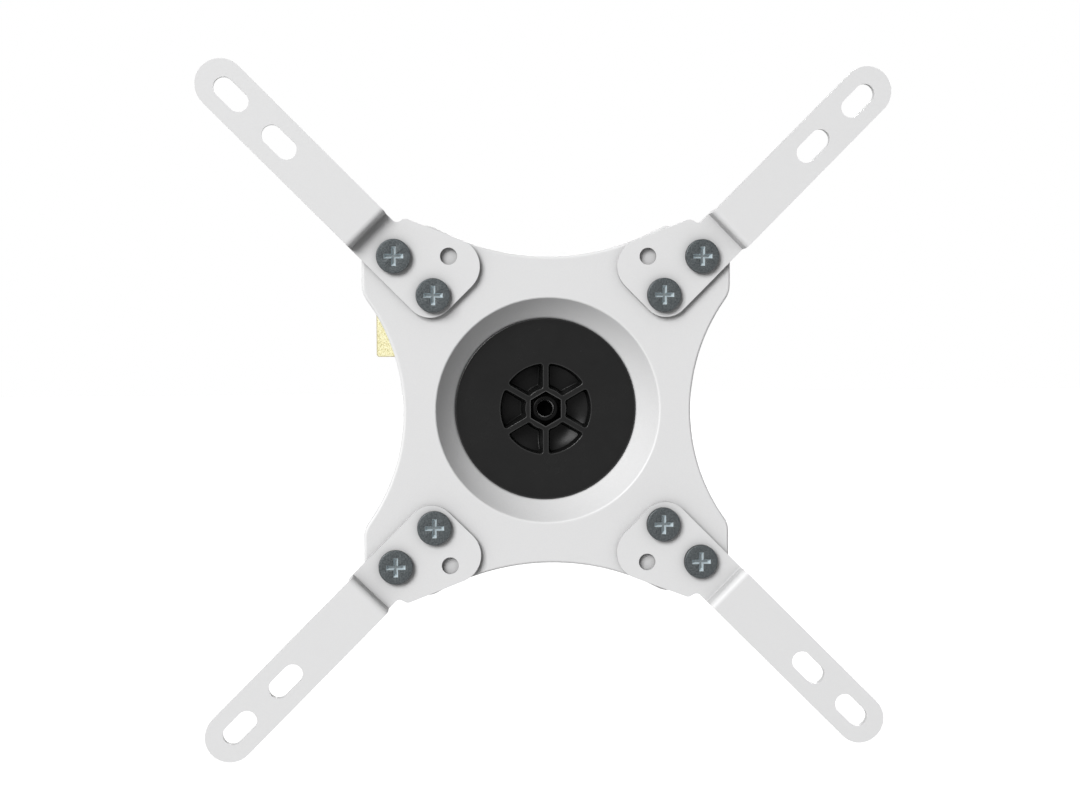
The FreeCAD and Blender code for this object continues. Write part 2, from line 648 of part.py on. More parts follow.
def rear_cup():
    """Black cup behind the dish, with a seat for the boss of the front disc."""
    rim_out, rim_depth = on_sphere(CUP_R, CUP_HALF_ANGLE)
    back = CUP_R + CUP_BACK_T
    seat_r = DISC_BOSS_R + PIN_FIT
    seat_angle = math.degrees(math.asin(seat_r / CUP_R))
    seat_depth = CUP_R + DISC_BOSS_SEAT + SLIDE_GAP
    hole_r = CLAMP_R + BOLT_HOLE_GAP
    front = (CUP_OUTER_R, rim_depth)
    waist = (CUP_OUTER_R, rim_depth + CUP_RIM_DEPTH)
    foot = (HEAD_HALF_WIDTH, back)
    edges = [sphere_arc(CUP_R, seat_angle, CUP_HALF_ANGLE), line((rim_out, rim_depth), front)]
    edges += [line(front, waist), line(waist, foot), line(foot, (hole_r, back))]
    edges += [line((hole_r, back), (hole_r, seat_depth)), line((hole_r, seat_depth), (seat_r, seat_depth))]
    edges.append(line((seat_r, seat_depth), on_sphere(CUP_R, seat_angle)))
    cup = turned_on_ball(edges)
    rim = [edge for edge in cup.Edges if is_ring(edge, CUP_OUTER_R, rim_depth)]
    return cup.makeFillet(CUP_RIM_R, rim)


def is_ring(edge, radius, depth):
    """Whether an edge is a full circle of this radius at this depth behind the ball centre."""
    if not isinstance(edge.Curve, Part.Circle):
        return False
    same_depth = abs(edge.Curve.Center.y - BALL_Y - depth) < SAME_PLACE
    return same_depth and abs(edge.Curve.Radius - radius) < SAME_PLACE


def disc_pockets():
    """Six drafted pockets round the hub, their floors rising outwards in a hollow curve."""
    lead = POCKET_LEAD
    spread = math.tan(math.radians(POCKET_DRAFT))
    mouth = DISC_FACE - lead
    inner_mouth = POCKET_INNER_R - lead * spread
    outer_mouth = POCKET_OUTER_R + lead * spread
    inner_floor = POCKET_INNER_R + POCKET_DEEP * spread
    outer_floor = POCKET_OUTER_R - POCKET_SHALLOW * spread
    corners = [(inner_mouth, mouth), (outer_mouth, mouth), (outer_floor, DISC_FACE + POCKET_SHALLOW)]
    corners.append((inner_floor, DISC_FACE + POCKET_DEEP))
    outline = [line(corners[0], corners[1]), line(corners[1], corners[2]), line(corners[3], corners[0])]
    width = outer_floor - inner_floor
    drop = POCKET_DEEP - POCKET_SHALLOW
    floor_r = (width ** 2 + drop ** 2) / (2 * drop)
    half_turn = math.asin(width / floor_r) / 2
    middle_r = inner_floor + floor_r * math.sin(half_turn)
    middle_depth = corners[3][1] - floor_r * (1 - math.cos(half_turn))
    spots = [Vector(*corners[2], 0), Vector(middle_r, middle_depth, 0), Vector(*corners[3], 0)]
    outline.append(Part.Arc(*spots).toShape())
    ring = turned_on_ball(outline)
    for step in range(POCKET_COUNT // 2):
        ring = ring.cut(disc_spoke(lead, spread, step * 360 / POCKET_COUNT))
    pockets = []
    for pocket in ring.Solids:
        uprights = [edge for edge in pocket.Edges if leaves_depth(edge, DISC_FACE_Y - lead)]
        pocket = pocket.makeFillet(POCKET_CORNER_R, uprights)
        floor = [edge for edge in pocket.Edges if is_pocket_floor(edge)]
        pockets.append(pocket.makeFillet(POCKET_FLOOR_R, floor))
    return pockets


def disc_spoke(lead, spread, turn):
    """Pair of opposite spokes across the disc, thicker toward their foot."""
    reach = POCKET_OUTER_R * 2
    deep = POCKET_DEEP * 2
    top_half = POCKET_SPOKE_W / 2 - lead * spread
    foot_half = POCKET_SPOKE_W / 2 + deep * spread
    section = [(-top_half, -lead, 0), (top_half, -lead, 0), (foot_half, deep, 0), (-foot_half, deep, 0)]
    spoke = prism(section, in_plan(-reach), Vector(0, 0, 2 * reach))
    spoke.translate(Vector(0, DISC_FACE_Y, BALL_Z))
    spoke.rotate(BALL, TOWARD_WALL, turn)
    return spoke


def leaves_depth(edge, y):
    """Whether an edge starts at a depth y and leads away from it."""
    ends = sorted(abs(vertex.Point.y - y) for vertex in edge.Vertexes)
    return len(ends) == 2 and ends[0] < 1e-4 and ends[1] > 1e-2


def is_pocket_floor(edge):
    """Whether an edge runs round the floor of a pocket, and not up its wall or round its mouth."""
    lowest = min(vertex.Point.y for vertex in edge.Vertexes)
    return lowest > DISC_FACE_Y + POCKET_SHALLOW / 2


def runs_along_y(edge):
    """Whether an edge is straight and parallel to the clamp axis."""
    if len(edge.Vertexes) != 2 or not isinstance(edge.Curve, Part.Line):
        return False
    along = edge.Vertexes[1].Point - edge.Vertexes[0].Point
    return abs(along.x) + abs(along.z) < SAME_PLANE


def front_disc():
    """Black clamp disc: flat face, thin lip at the dish, pocketed hub and a boss through the dish."""
    boss_end = CUP_R + DISC_BOSS_SEAT
    hole_r = CLAMP_R + BOLT_HOLE_GAP
    edges = [line((hole_r, DISC_FACE), (DISC_R, DISC_FACE)), sphere_arc(DISC_LIP_R, LIP_ANGLE, STEP_ANGLE)]
    edges.append(line(on_sphere(DISC_LIP_R, STEP_ANGLE), on_sphere(DISC_BACK_R, STEP_ANGLE)))
    edges.append(sphere_arc(DISC_BACK_R, STEP_ANGLE, BOSS_ANGLE))
    edges.append(line(on_sphere(DISC_BACK_R, BOSS_ANGLE), (DISC_BOSS_R, boss_end)))
    edges.append(line((DISC_BOSS_R, boss_end), (hole_r, boss_end)))
    edges.append(line((hole_r, boss_end), (hole_r, DISC_FACE)))
    disc = turned_on_ball(edges)
    rim = [edge for edge in disc.Edges if is_ring(edge, DISC_R, DISC_FACE)]
    disc = disc.makeFillet(DISC_EDGE_R, rim)
    for pocket in disc_pockets():
        disc = disc.cut(pocket)
    lips = [edge for edge in disc.Edges if is_pocket_mouth(edge)]
    disc = disc.makeFillet(POCKET_LIP_R, lips)
    mouth = Vector(0, DISC_FACE_Y - NUT_POCKET_DEPTH, BALL_Z)
    return disc.cut(hexagon(NUT_POCKET_AF, 2 * NUT_POCKET_DEPTH, mouth, TOWARD_WALL, chamfer=False))


def is_pocket_mouth(edge):
    """Whether an edge lies in the disc's front face round one of the six pockets."""
    for vertex in edge.Vertexes:
        out = math.hypot(vertex.Point.x, vertex.Point.z - BALL_Z)
        in_face = abs(vertex.Point.y - DISC_FACE_Y) < SAME_PLANE
        if not in_face or not POCKET_INNER_R - SLIDE_GAP < out < POCKET_OUTER_R + SLIDE_GAP:
            return False
    return True


def clamp_nut():
    """Lock nut at the bottom of the hexagon pocket in the disc's hub."""
    foot = Vector(0, DISC_FACE_Y + NUT_POCKET_DEPTH, BALL_Z)
    return lock_nut(CLAMP_R, CLAMP_NUT_AF, CLAMP_NUT_H, foot, -TOWARD_WALL)


def spring_stack():
    """Length of the washers between the head bracket and the head of the clamp bolt."""
    return CLAMP_WASHER_T + 2 * (SPRING_WASHER_T + SPRING_WASHER_CONE)


def clamp_bolt():
    """Bolt from behind the head bracket through the cup, the dish and the disc to the nut."""
    seat_y = HEAD_BACK_Y + spring_stack()
    end_y = DISC_FACE_Y + NUT_POCKET_DEPTH - CLAMP_NUT_H + CLAMP_END_SUNK
    seat = Vector(0, seat_y, BALL_Z)
    return hex_bolt(CLAMP_R, CLAMP_NUT_AF, CLAMP_HEAD_H, seat_y - end_y, seat, -TOWARD_WALL)


def clamp_washer():
    """Flat washer on the back of the head bracket."""
    foot = Vector(0, HEAD_BACK_Y, BALL_Z)
    return washer(CLAMP_R + BOLT_HOLE_GAP, CLAMP_WASHER_R, CLAMP_WASHER_T, foot, TOWARD_WALL)


def clamp_spring_washers():
    """Pair of disc springs, their wide rims together."""
    inner_r = CLAMP_R + BOLT_HOLE_GAP
    top = SPRING_WASHER_T + SPRING_WASHER_CONE
    outline = [(inner_r, 0, 0), (inner_r, SPRING_WASHER_T, 0), (SPRING_WASHER_R, top, 0)]
    outline.append((SPRING_WASHER_R, SPRING_WASHER_CONE, 0))
    foot_y = HEAD_BACK_Y + CLAMP_WASHER_T
    first = turned(outline, Vector(0, foot_y, BALL_Z), TOWARD_WALL)
    second = turned(outline, Vector(0, foot_y + 2 * top, BALL_Z), -TOWARD_WALL)
    return Part.makeCompound([first, second])


def dish_plate():
    """Pressed screen plate: four screw corners, four scooped sides and a round dish."""
    half = PLATE_HALF
    corners = [(-half, -half, PLATE_TIP_R), (half, -half, PLATE_TIP_R)]
    corners += [(half, half, PLATE_TIP_R), (-half, half, PLATE_TIP_R)]
    plate = prism(corners, in_front(0), Vector(0, PLATE_T, 0))
    for side in (-1, 1):
        scoop_x = Vector(side * (SIDE_WAIST + SIDE_SCOOP_R), 0, 0)
        scoop_z = Vector(0, 0, side * (TOP_WAIST + TOP_SCOOP_R))
        plate = plate.cut(rod(SIDE_SCOOP_R, PLATE_T, scoop_x, TOWARD_WALL))
        plate = plate.cut(rod(TOP_SCOOP_R, PLATE_T, scoop_z, TOWARD_WALL))
    joints = []
    for edge in plate.Edges:
        if runs_along_y(edge):
            spot = edge.Vertexes[0].Point
            side_drop = math.sqrt(SIDE_SCOOP_R ** 2 - (SIDE_WAIST + SIDE_SCOOP_R - half) ** 2)
            top_drop = math.sqrt(TOP_SCOOP_R ** 2 - (TOP_WAIST + TOP_SCOOP_R - half) ** 2)
            on_side = abs(abs(spot.x) - half) + abs(abs(spot.z) - side_drop) < SAME_PLACE
            on_top = abs(abs(spot.z) - half) + abs(abs(spot.x) - top_drop) < SAME_PLACE
            if on_side or on_top:
                joints.append(edge)
    plate = plate.makeFillet(SCOOP_CORNER_R, joints)
    rim = [edge for edge in plate.Edges if all(abs(vertex.Point.y) < SAME_PLANE for vertex in edge.Vertexes)]
    plate = plate.makeFillet(PLATE_EDGE_R, rim)
    plate.translate(Vector(0, PLATE_Y, BALL_Z))
    back = Part.makeBox(4 * half, 2 * BOWL_OUTER_R, 4 * half, Vector(-2 * half, PLATE_Y, BALL_Z - 2 * half))
    plate = plate.fuse(Part.makeSphere(BOWL_OUTER_R, BALL).common(back))
    plate = clean(plate).cut(Part.makeSphere(BOWL_R, BALL))
    back_depth = BOWL_CENTRE_AHEAD + PLATE_T
    root_r = math.sqrt(BOWL_OUTER_R ** 2 - back_depth ** 2)
    rim = [edge for edge in plate.Edges if is_ring(edge, DISH_R, BOWL_CENTRE_AHEAD)]
    plate = plate.makeFillet(DISH_RIM_R, rim)
    root = [edge for edge in plate.Edges if is_ring(edge, root_r, back_depth)]
    plate = plate.makeFillet(DISH_BACK_R, root)
    plate = plate.cut(rod(BOWL_HOLE_R, 2 * BOWL_R, BALL, TOWARD_WALL))
    for spot in screw_spots():
        plate = plate.cut(rod(ARM_HOLE_R, PLATE_T, Vector(spot.x, PLATE_Y, spot.z), TOWARD_WALL))
    return plate


def screw_spots():
    """The eight arm screw positions, on the two diagonals of the screen plate."""
    spots = []
    for side_z in (1, -1):
        for side_x in (-1, 1):
            for reach in (OUTER_SCREW, INNER_SCREW):
                spots.append(Vector(side_x * reach, 0, BALL_Z + side_z * reach))
    return spots


def slot(middle):
    """Long hole along the arm, through its sheet."""
    half = SLOT_LENGTH / 2
    width = SLOT_W / 2
    end_r = width - ROUND_END
    corners = [(middle - half, -width, end_r), (middle + half, -width, end_r)]
    corners += [(middle + half, width, end_r), (middle - half, width, end_r)]
    return prism(corners, in_front(-PLATE_HALF), Vector(0, 2 * PLATE_HALF, 0))


def screen_arm():
    """Arm for the upper right corner, drawn along X from its outer screw, its back face at Y = 0."""
    outer_slot_at = (OUTER_SLOT_PITCH - OUTER_SCREW) * math.sqrt(2)
    end = outer_slot_at + SLOT_LENGTH / 2 + SLOT_END_MARGIN + math.sqrt(2)
    width = ARM_HALF_WIDTH
    end_r = width - ROUND_END
    outline = [(end, -width, end_r), (end, width, end_r), (RELIEF_AT, width, RELIEF_R)]
    outline.append((FOOT_SHOULDER_AT, FOOT_SHOULDER_WIDTH, FOOT_SHOULDER_R))
    outline += [(-FOOT_END, FOOT_LOBE_WIDTH, FOOT_LOBE_R), (-FOOT_END, -width, FOOT_END_R)]
    back, front = joggle(ARM_RISE_START, ARM_RISE_START + ARM_RISE_RUN, ARM_RISE, ARM_T, ARM_BEND_R)
    section = [(-end, 0, 0)] + back[::-1] + [(2 * end, -ARM_RISE, 0), (2 * end, -ARM_RISE - ARM_T, 0)]
    section += front[::-1] + [(-end, -ARM_T, 0)]
    sheet = prism(section, in_plan(-end), Vector(0, 0, 2 * end))
    arm = sheet.common(prism(outline, in_front(-PLATE_HALF), Vector(0, 2 * PLATE_HALF, 0)))
    screw_step = (OUTER_SCREW - INNER_SCREW) * math.sqrt(2)
    spare = screw_step / math.sqrt(2)
    for along, across in ((0, 0), (-screw_step, 0), (-spare, spare)):
        hole = rod(ARM_HOLE_R, 4 * ARM_T, Vector(along, -2 * ARM_T, across), TOWARD_WALL)
        arm = arm.cut(hole)
    for middle in (INNER_SLOT_AT, outer_slot_at):
        arm = arm.cut(slot(middle))
    return arm


def placed_arms():
    """The four screen arms: right hand ones across one diagonal, left hand ones across the other."""
    right = screen_arm()
    right.rotate(Vector(0, 0, 0), TOWARD_WALL, -45)
    right.translate(Vector(OUTER_SCREW, PLATE_Y, BALL_Z + OUTER_SCREW))
    left = mirrored_x(right)
    arms = {"arm_top_right": right, "arm_top_left": left}
    for name, source in (("arm_bottom_left", right), ("arm_bottom_right", left)):
        turned_arm = source.copy()
        turned_arm.rotate(BALL, TOWARD_WALL, 180)
        arms[name] = turned_arm
    return arms


def arm_screws():
    """Eight pan head screws through the arms and the screen plate."""
    screws = []
    for spot in screw_spots():
        seat = Vector(spot.x, PLATE_Y - ARM_T, spot.z)
        screws.append(pan_screw(SCREW_R, SCREW_HEAD_R, SCREW_HEAD_H, SCREW_LENGTH, seat))
    return Part.makeCompound(screws)


def arm_nuts():
    """Eight nuts on the back of the screen plate."""
    nuts = []
    for spot in screw_spots():
        foot = Vector(spot.x, PLATE_Y + PLATE_T, spot.z)
        nuts.append(hex_nut(SCREW_R, NUT_AF, NUT_H, foot, TOWARD_WALL))
    return Part.makeCompound(nuts)


def all_nodes():
    """Every piece of the mount by its name."""
    wall_half = barrel_half(YOKE_HALF_HEIGHT, YOKE_SHEET)
    head_half = barrel_half(HEAD_HALF_HEIGHT, HEAD_SHEET)
    nodes = {
        "wall_plate": wall_plate(),
        "press_nut": press_nut(),
        "wall_base": wall_base(),
        "lock_screw": lock_screw(),
        "wall_pivot_bolt": pivot_bolt(WALL_BOLT_R, WALL_NUT_AF, WALL_BOLT_HEAD_H, WALL_NUT_H,
                                      YOKE_HALF_HEIGHT, WALL_PIN_Y),
        "wall_pivot_nut": pivot_nut(WALL_BOLT_R, WALL_NUT_AF, WALL_NUT_H, YOKE_HALF_HEIGHT, WALL_PIN_Y),
        "wall_pivot_washers": pivot_washers(WALL_BOLT_R, WALL_WASHER_R, YOKE_HALF_HEIGHT, WALL_PIN_Y),
        "wall_bush_top": bush(WALL_BOLT_R, wall_half, WALL_PIN_Y, 1),
        "wall_bush_bottom": bush(WALL_BOLT_R, wall_half, WALL_PIN_Y, -1),
        "swing_arm": swing_arm(),
        "head_bush_top": bush(HEAD_BOLT_R, head_half, HEAD_PIN_Y, 1),
        "head_bush_bottom": bush(HEAD_BOLT_R, head_half, HEAD_PIN_Y, -1),
        "head_pivot_bolt": pivot_bolt(HEAD_BOLT_R, HEAD_NUT_AF, HEAD_BOLT_HEAD_H, HEAD_NUT_H,
                                      HEAD_HALF_HEIGHT, HEAD_PIN_Y),
        "head_pivot_nut": pivot_nut(HEAD_BOLT_R, HEAD_NUT_AF, HEAD_NUT_H, HEAD_HALF_HEIGHT, HEAD_PIN_Y),
        "head_pivot_washers": pivot_washers(HEAD_BOLT_R, HEAD_WASHER_R, HEAD_HALF_HEIGHT, HEAD_PIN_Y),
        "head_bracket": head_bracket(),
        "rear_cup": rear_cup(),
        "clamp_washer": clamp_washer(),
        "clamp_spring_washers": clamp_spring_washers(),
        "clamp_bolt": clamp_bolt(),
        "clamp_nut": clamp_nut(),
        "front_disc": front_disc(),
        "front_friction_ring": front_friction_ring(),
        "rear_friction_ring": rear_friction_ring(),
        "dish_plate": dish_plate(),
        "arm_screws": arm_screws(),
        "arm_nuts": arm_nuts(),
    }
    nodes.update(placed_arms())
    return nodes


for name, shape in all_nodes().items():
    shape.exportStep("parts/" + name + ".step")
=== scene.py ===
"""Looks of the swivel television wall mount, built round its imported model."""

import logging
import math
from collections.abc import Sequence
from dataclasses import dataclass, replace
from enum import Enum

import bmesh
import bpy
from bmesh.types import BMEdge, BMesh, BMFace, BMVert
from bpy.types import ID, Material, Mesh, Node, NodeSocket, NodeTree, Object
from mathutils import Matrix, Vector


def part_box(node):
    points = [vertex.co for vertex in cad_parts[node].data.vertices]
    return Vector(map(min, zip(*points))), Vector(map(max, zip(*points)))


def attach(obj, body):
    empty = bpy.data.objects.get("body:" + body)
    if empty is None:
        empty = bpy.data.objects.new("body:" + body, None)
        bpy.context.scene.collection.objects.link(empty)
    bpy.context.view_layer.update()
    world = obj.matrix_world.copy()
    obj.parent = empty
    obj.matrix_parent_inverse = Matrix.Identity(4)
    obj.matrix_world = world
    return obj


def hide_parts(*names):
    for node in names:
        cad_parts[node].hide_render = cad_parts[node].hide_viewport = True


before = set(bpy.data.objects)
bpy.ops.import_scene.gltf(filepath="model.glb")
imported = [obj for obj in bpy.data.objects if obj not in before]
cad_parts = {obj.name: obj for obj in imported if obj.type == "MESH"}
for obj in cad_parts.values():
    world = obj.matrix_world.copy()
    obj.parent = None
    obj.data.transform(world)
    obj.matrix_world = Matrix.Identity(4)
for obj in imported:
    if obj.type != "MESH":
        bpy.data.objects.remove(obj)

LOG = logging.getLogger("wall_mount")

MM = 0.001
TOWARD_SCREEN = Vector((0.0, -1.0, 0.0))
TOWARD_WALL = Vector((0.0, 1.0, 0.0))
UP = Vector((0.0, 0.0, 1.0))
BARE_AND_HIGHLIGHT_FACES = "bare_and_highlight_faces"
Triple = tuple[float, float, float]

# How far one closed skin reaches into the next, and how near counts as level or as one point
OVERLAP = 0.1 * MM
LEVEL = 0.01 * MM
MERGE_GAP = 1e-7

# Proportions of every thread, as shares of its pitch
THREAD_CORE = 0.5
THREAD_DEPTH = 0.55
THREAD_HALF = 0.46
THREAD_CREST = 0.15

# The least angle between faces at the mouth of a recess
MOUTH_ANGLE = math.radians(30)

# Node settings that the finishes share
WHITE = (1.0, 1.0, 1.0, 1.0)
NOISE_MIDDLE = 0.5
COARSE_RATIO = 0.3
LINE_BUMP = 0.5
OCCLUSION_SAMPLES = 8
EDGE_FULL_AT = 0.65


class Slot(Enum):
    """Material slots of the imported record."""

    WHITE = "white_coat"
    YELLOW = "yellow_passivated"
    BLACK = "black_moulding"
    SCREW = "dark_screw"
    BLACK_STEEL = "black_steel"
    ZINC = "zinc_steel"
    SPRING = "spring_steel"
    NYLON = "nylon"
    FRICTION = "friction_plastic"


class Body(Enum):
    """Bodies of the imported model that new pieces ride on."""

    WALL = "wall_side"
    ARM = "arm"
    HEAD = "head"
    SCREEN = "screen_plate"


class NodeSheet:
    """A shader node tree with short calls to add and join nodes."""

    def __init__(self, tree: NodeTree) -> None:
        """Keep the tree and empty it.

        Args:
            tree: The node tree to write into.
        """
        self.tree = tree
        tree.nodes.clear()

    def add(self, kind: str, inputs: dict | None = None, **settings: object) -> Node:
        """Add one node.

        Args:
            kind: The node's type name.
            inputs: Values or sockets for its inputs, by input name or number.
            **settings: Attributes of the node.

        Returns:
            The new node.
        """
        node = self.tree.nodes.new(kind)
        for name, value in settings.items():
            setattr(node, name, value)
        for name, value in (inputs or {}).items():
            if isinstance(value, NodeSocket):
                self.tree.links.new(value, node.inputs[name])
            else:
                node.inputs[name].default_value = value
        return node

    def worked(self, operation: str, first: object, second: object) -> NodeSocket:
        """Add a math node.

        Args:
            operation: What it does.
            first: Its first value or socket.
            second: Its second value or socket.

        Returns:
            The result's socket.
        """
        return self.add("ShaderNodeMath", {0: first, 1: second}, operation=operation).outputs[0]

    def ranged(self, value: NodeSocket, ends: dict) -> NodeSocket:
        """Map a value from one range to another, 0 to 1 where an end isn't given.

        Args:
            value: The value's socket.
            ends: Ends of the two ranges, by input name.

        Returns:
            The result's socket.
        """
        return self.add("ShaderNodeMapRange", {"Value": value, **ends}).outputs["Result"]

    def mixed(self, share: NodeSocket, low: object, high: object) -> NodeSocket:
        """Mix two colours.

        Args:
            share: Share of the second colour.
            low: The first colour or its socket.
            high: The second colour or its socket.

        Returns:
            The colour's socket.
        """
        mix = self.add("ShaderNodeMix", {0: share, 6: low, 7: high}, data_type="RGBA")
        return mix.outputs[2]


def new_group(name: str, inputs: dict[str, str],
              outputs: dict[str, str]) -> tuple[NodeSheet, dict[str, NodeSocket]]:
    """Start a shader node group with named sockets.

    Args:
        name: The group's name.
        inputs: Socket kind by input name.
        outputs: Socket kind by output name.

    Returns:
        The group's sheet, and its inputs' sockets by name.
    """
    group = bpy.data.node_groups.new(name, "ShaderNodeTree")
    for way, sockets in (("INPUT", inputs), ("OUTPUT", outputs)):
        for label, kind in sockets.items():
            group.interface.new_socket(label, in_out=way, socket_type=f"NodeSocket{kind}")
    sheet = NodeSheet(group)
    source = sheet.add("NodeGroupInput")
    return sheet, {label: source.outputs[label] for label in inputs}


class Effects:
    """Node groups that several finishes share, each built once."""

    def __init__(self) -> None:
        """Build every group."""
        self.grain = self._grain()
        self.mottle = self._mottle()
        self.brushing = self._brushing()

    def _grain(self) -> NodeTree:
        """Fine two scale grain for coats and moulded surfaces.

        Returns:
            A group from Vector, Scale and Coarse Share to Height.
        """
        sheet, given = new_group(
            "fine_grain", {"Vector": "Vector", "Scale": "Float", "Coarse Share": "Float"},
            {"Height": "Float"})
        fine = sheet.add("ShaderNodeTexNoise", {
            "Vector": given["Vector"], "Scale": given["Scale"], "Detail": 2.0, "Roughness": 0.5})
        coarse_scale = sheet.worked("MULTIPLY", given["Scale"], COARSE_RATIO)
        coarse = sheet.add("ShaderNodeTexNoise", {
            "Vector": given["Vector"], "Scale": coarse_scale, "Detail": 1.0, "Roughness": 0.4})
        blend = sheet.add("ShaderNodeMix", {
            0: given["Coarse Share"], 2: fine.outputs["Fac"], 3: coarse.outputs["Fac"]})
        sheet.add("NodeGroupOutput", {"Height": blend.outputs[0]})
        return sheet.tree

    def _mottle(self) -> NodeTree:
        """Soft patches between two colours.

        Returns:
            A group from Vector, Scale, Spread, Low and High to Color and Mask.
        """
        sheet, given = new_group(
            "soft_mottle", {
                "Vector": "Vector", "Scale": "Float", "Spread": "Float", "Low": "Color",
                "High": "Color"}, {"Color": "Color", "Mask": "Float"})
        noise = sheet.add("ShaderNodeTexNoise", {
            "Vector": given["Vector"], "Scale": given["Scale"], "Detail": 3.0, "Roughness": 0.6})
        low = sheet.worked("SUBTRACT", NOISE_MIDDLE, given["Spread"])
        high = sheet.worked("ADD", NOISE_MIDDLE, given["Spread"])
        mask = sheet.ranged(noise.outputs["Fac"], {"From Min": low, "From Max": high})
        colour = sheet.mixed(mask, given["Low"], given["High"])
        sheet.add("NodeGroupOutput", {"Color": colour, "Mask": mask})
        return sheet.tree

    def _brushing(self) -> NodeTree:
        """Fine lines along one direction, as left by drawing or turning.

        Returns:
            A group from Vector and Stretch to Height.
        """
        sheet, given = new_group(
            "drawn_lines", {"Vector": "Vector", "Stretch": "Vector"}, {"Height": "Float"})
        drawn = sheet.add("ShaderNodeVectorMath", {
            0: given["Vector"], 1: given["Stretch"]}, operation="MULTIPLY")
        noise = sheet.add("ShaderNodeTexNoise", {
            "Vector": drawn.outputs[0], "Scale": 2200.0, "Detail": 2.0, "Roughness": 0.6})
        sheet.add("NodeGroupOutput", {"Height": noise.outputs["Fac"]})
        return sheet.tree


@dataclass(frozen=True)
class Finish:
    """Grain, tone and gloss of one surface.

    The tone runs in patches from low to high. Where they are given, bare is the tone of rubbed
    faces on the screws and a painted highlight on the clamp bolt's end; crease is painted shade,
    the share by which colour and specular darken in corners and creases within painted_shade_reach;
    and the edge values are what thin edges take within edge_reach, where the pressed plate's near
    white edge colour is a painted highlight. A drawn finish has lines, by their stretch.
    """

    name: str
    low: Triple
    high: Triple
    mottle_scale: float
    roughness: float
    roughness_swing: float
    grain_scale: float
    mottle_spread: float = 0.2
    grain_coarse: float = 0.5
    grain_depth: float = 0.03 * MM
    metallic: float = 0.0
    specular: float = 0.5
    drawn: Triple | None = None
    bare_and_highlight: Triple | None = None
    painted_crease_shade: float = 0.0
    painted_shade_reach: float = 12.0 * MM
    edge_reach: float = 0.0
    edge_specular: float | None = None
    edge_colour: Triple | None = None

    def build(self, effects: Effects) -> Material:
        """Make the material.

        Args:
            effects: The shared node groups.

        Returns:
            The new material.
        """
        material = bpy.data.materials.new(self.name)
        material.use_nodes = True
        sheet = NodeSheet(material.node_tree)
        place = sheet.add("ShaderNodeTexCoord").outputs["Object"]
        tone = sheet.add("ShaderNodeGroup", {
            "Vector": place, "Scale": self.mottle_scale, "Spread": self.mottle_spread,
            "Low": (*self.low, 1.0), "High": (*self.high, 1.0)}, node_tree=effects.mottle)
        gloss = sheet.ranged(tone.outputs["Mask"], {
            "To Min": self.roughness - self.roughness_swing,
            "To Max": self.roughness + self.roughness_swing})
        grain = sheet.add("ShaderNodeGroup", {
            "Vector": place, "Scale": self.grain_scale, "Coarse Share": self.grain_coarse},
            node_tree=effects.grain)
        normal = sheet.add("ShaderNodeBump", {
            "Height": grain.outputs["Height"], "Strength": 1.0,
            "Distance": self.grain_depth}).outputs["Normal"]
        if self.drawn is not None:
            lines = sheet.add("ShaderNodeGroup", {
                "Vector": place, "Stretch": self.drawn}, node_tree=effects.brushing)
            normal = sheet.add("ShaderNodeBump", {
                "Height": lines.outputs["Height"], "Strength": LINE_BUMP,
                "Distance": self.grain_depth, "Normal": normal}).outputs["Normal"]
        colour, metallic, specular = tone.outputs["Color"], self.metallic, self.specular
        # On the screws this tone is wear; on the clamp bolt's end it is bare metal and a painted
        # highlight
        if self.bare_and_highlight is not None:
            share = sheet.add("ShaderNodeAttribute", attribute_name=BARE_AND_HIGHLIGHT_FACES).outputs["Fac"]
            colour = sheet.mixed(share, colour, (*self.bare_and_highlight, 1.0))
            if self.metallic > 0:
                metallic = sheet.ranged(share, {"To Min": self.metallic, "To Max": 0.0})
        if self.edge_reach > 0:
            thickness = sheet.add(
                "ShaderNodeAmbientOcclusion", {"Distance": self.edge_reach},
                samples=OCCLUSION_SAMPLES, inside=True).outputs["AO"]
            edge = sheet.ranged(thickness, {"From Min": 1.0, "From Max": EDGE_FULL_AT})
            # The pressed plate's near white edge colour is a painted highlight on its thin edges
            if self.edge_colour is not None:
                colour = sheet.mixed(edge, colour, (*self.edge_colour, 1.0))
            if self.edge_specular is not None:
                specular = sheet.ranged(edge, {
                    "To Min": self.specular, "To Max": self.edge_specular})
        # Painted shade: where the surface is closed in, its colour and specular darken by the
        # crease share
        if self.painted_crease_shade > 0:
            openness = sheet.add(
                "ShaderNodeAmbientOcclusion", {"Distance": self.painted_shade_reach},
                samples=OCCLUSION_SAMPLES).outputs["AO"]
            painted_shade_factor = sheet.ranged(openness, {"To Min": 1.0 - self.painted_crease_shade, "To Max": 1.0})
            colour = sheet.add(
                "ShaderNodeVectorMath", {0: colour, "Scale": painted_shade_factor}, operation="SCALE").outputs[0]
            specular = sheet.worked("MULTIPLY", painted_shade_factor, specular)
        surface = sheet.add("ShaderNodeBsdfPrincipled", {
            "Base Color": colour, "Roughness": gloss, "Metallic": metallic,
            "Specular IOR Level": specular, "Normal": normal})
        sheet.add("ShaderNodeOutputMaterial", {"Surface": surface.outputs["BSDF"]})
        return material


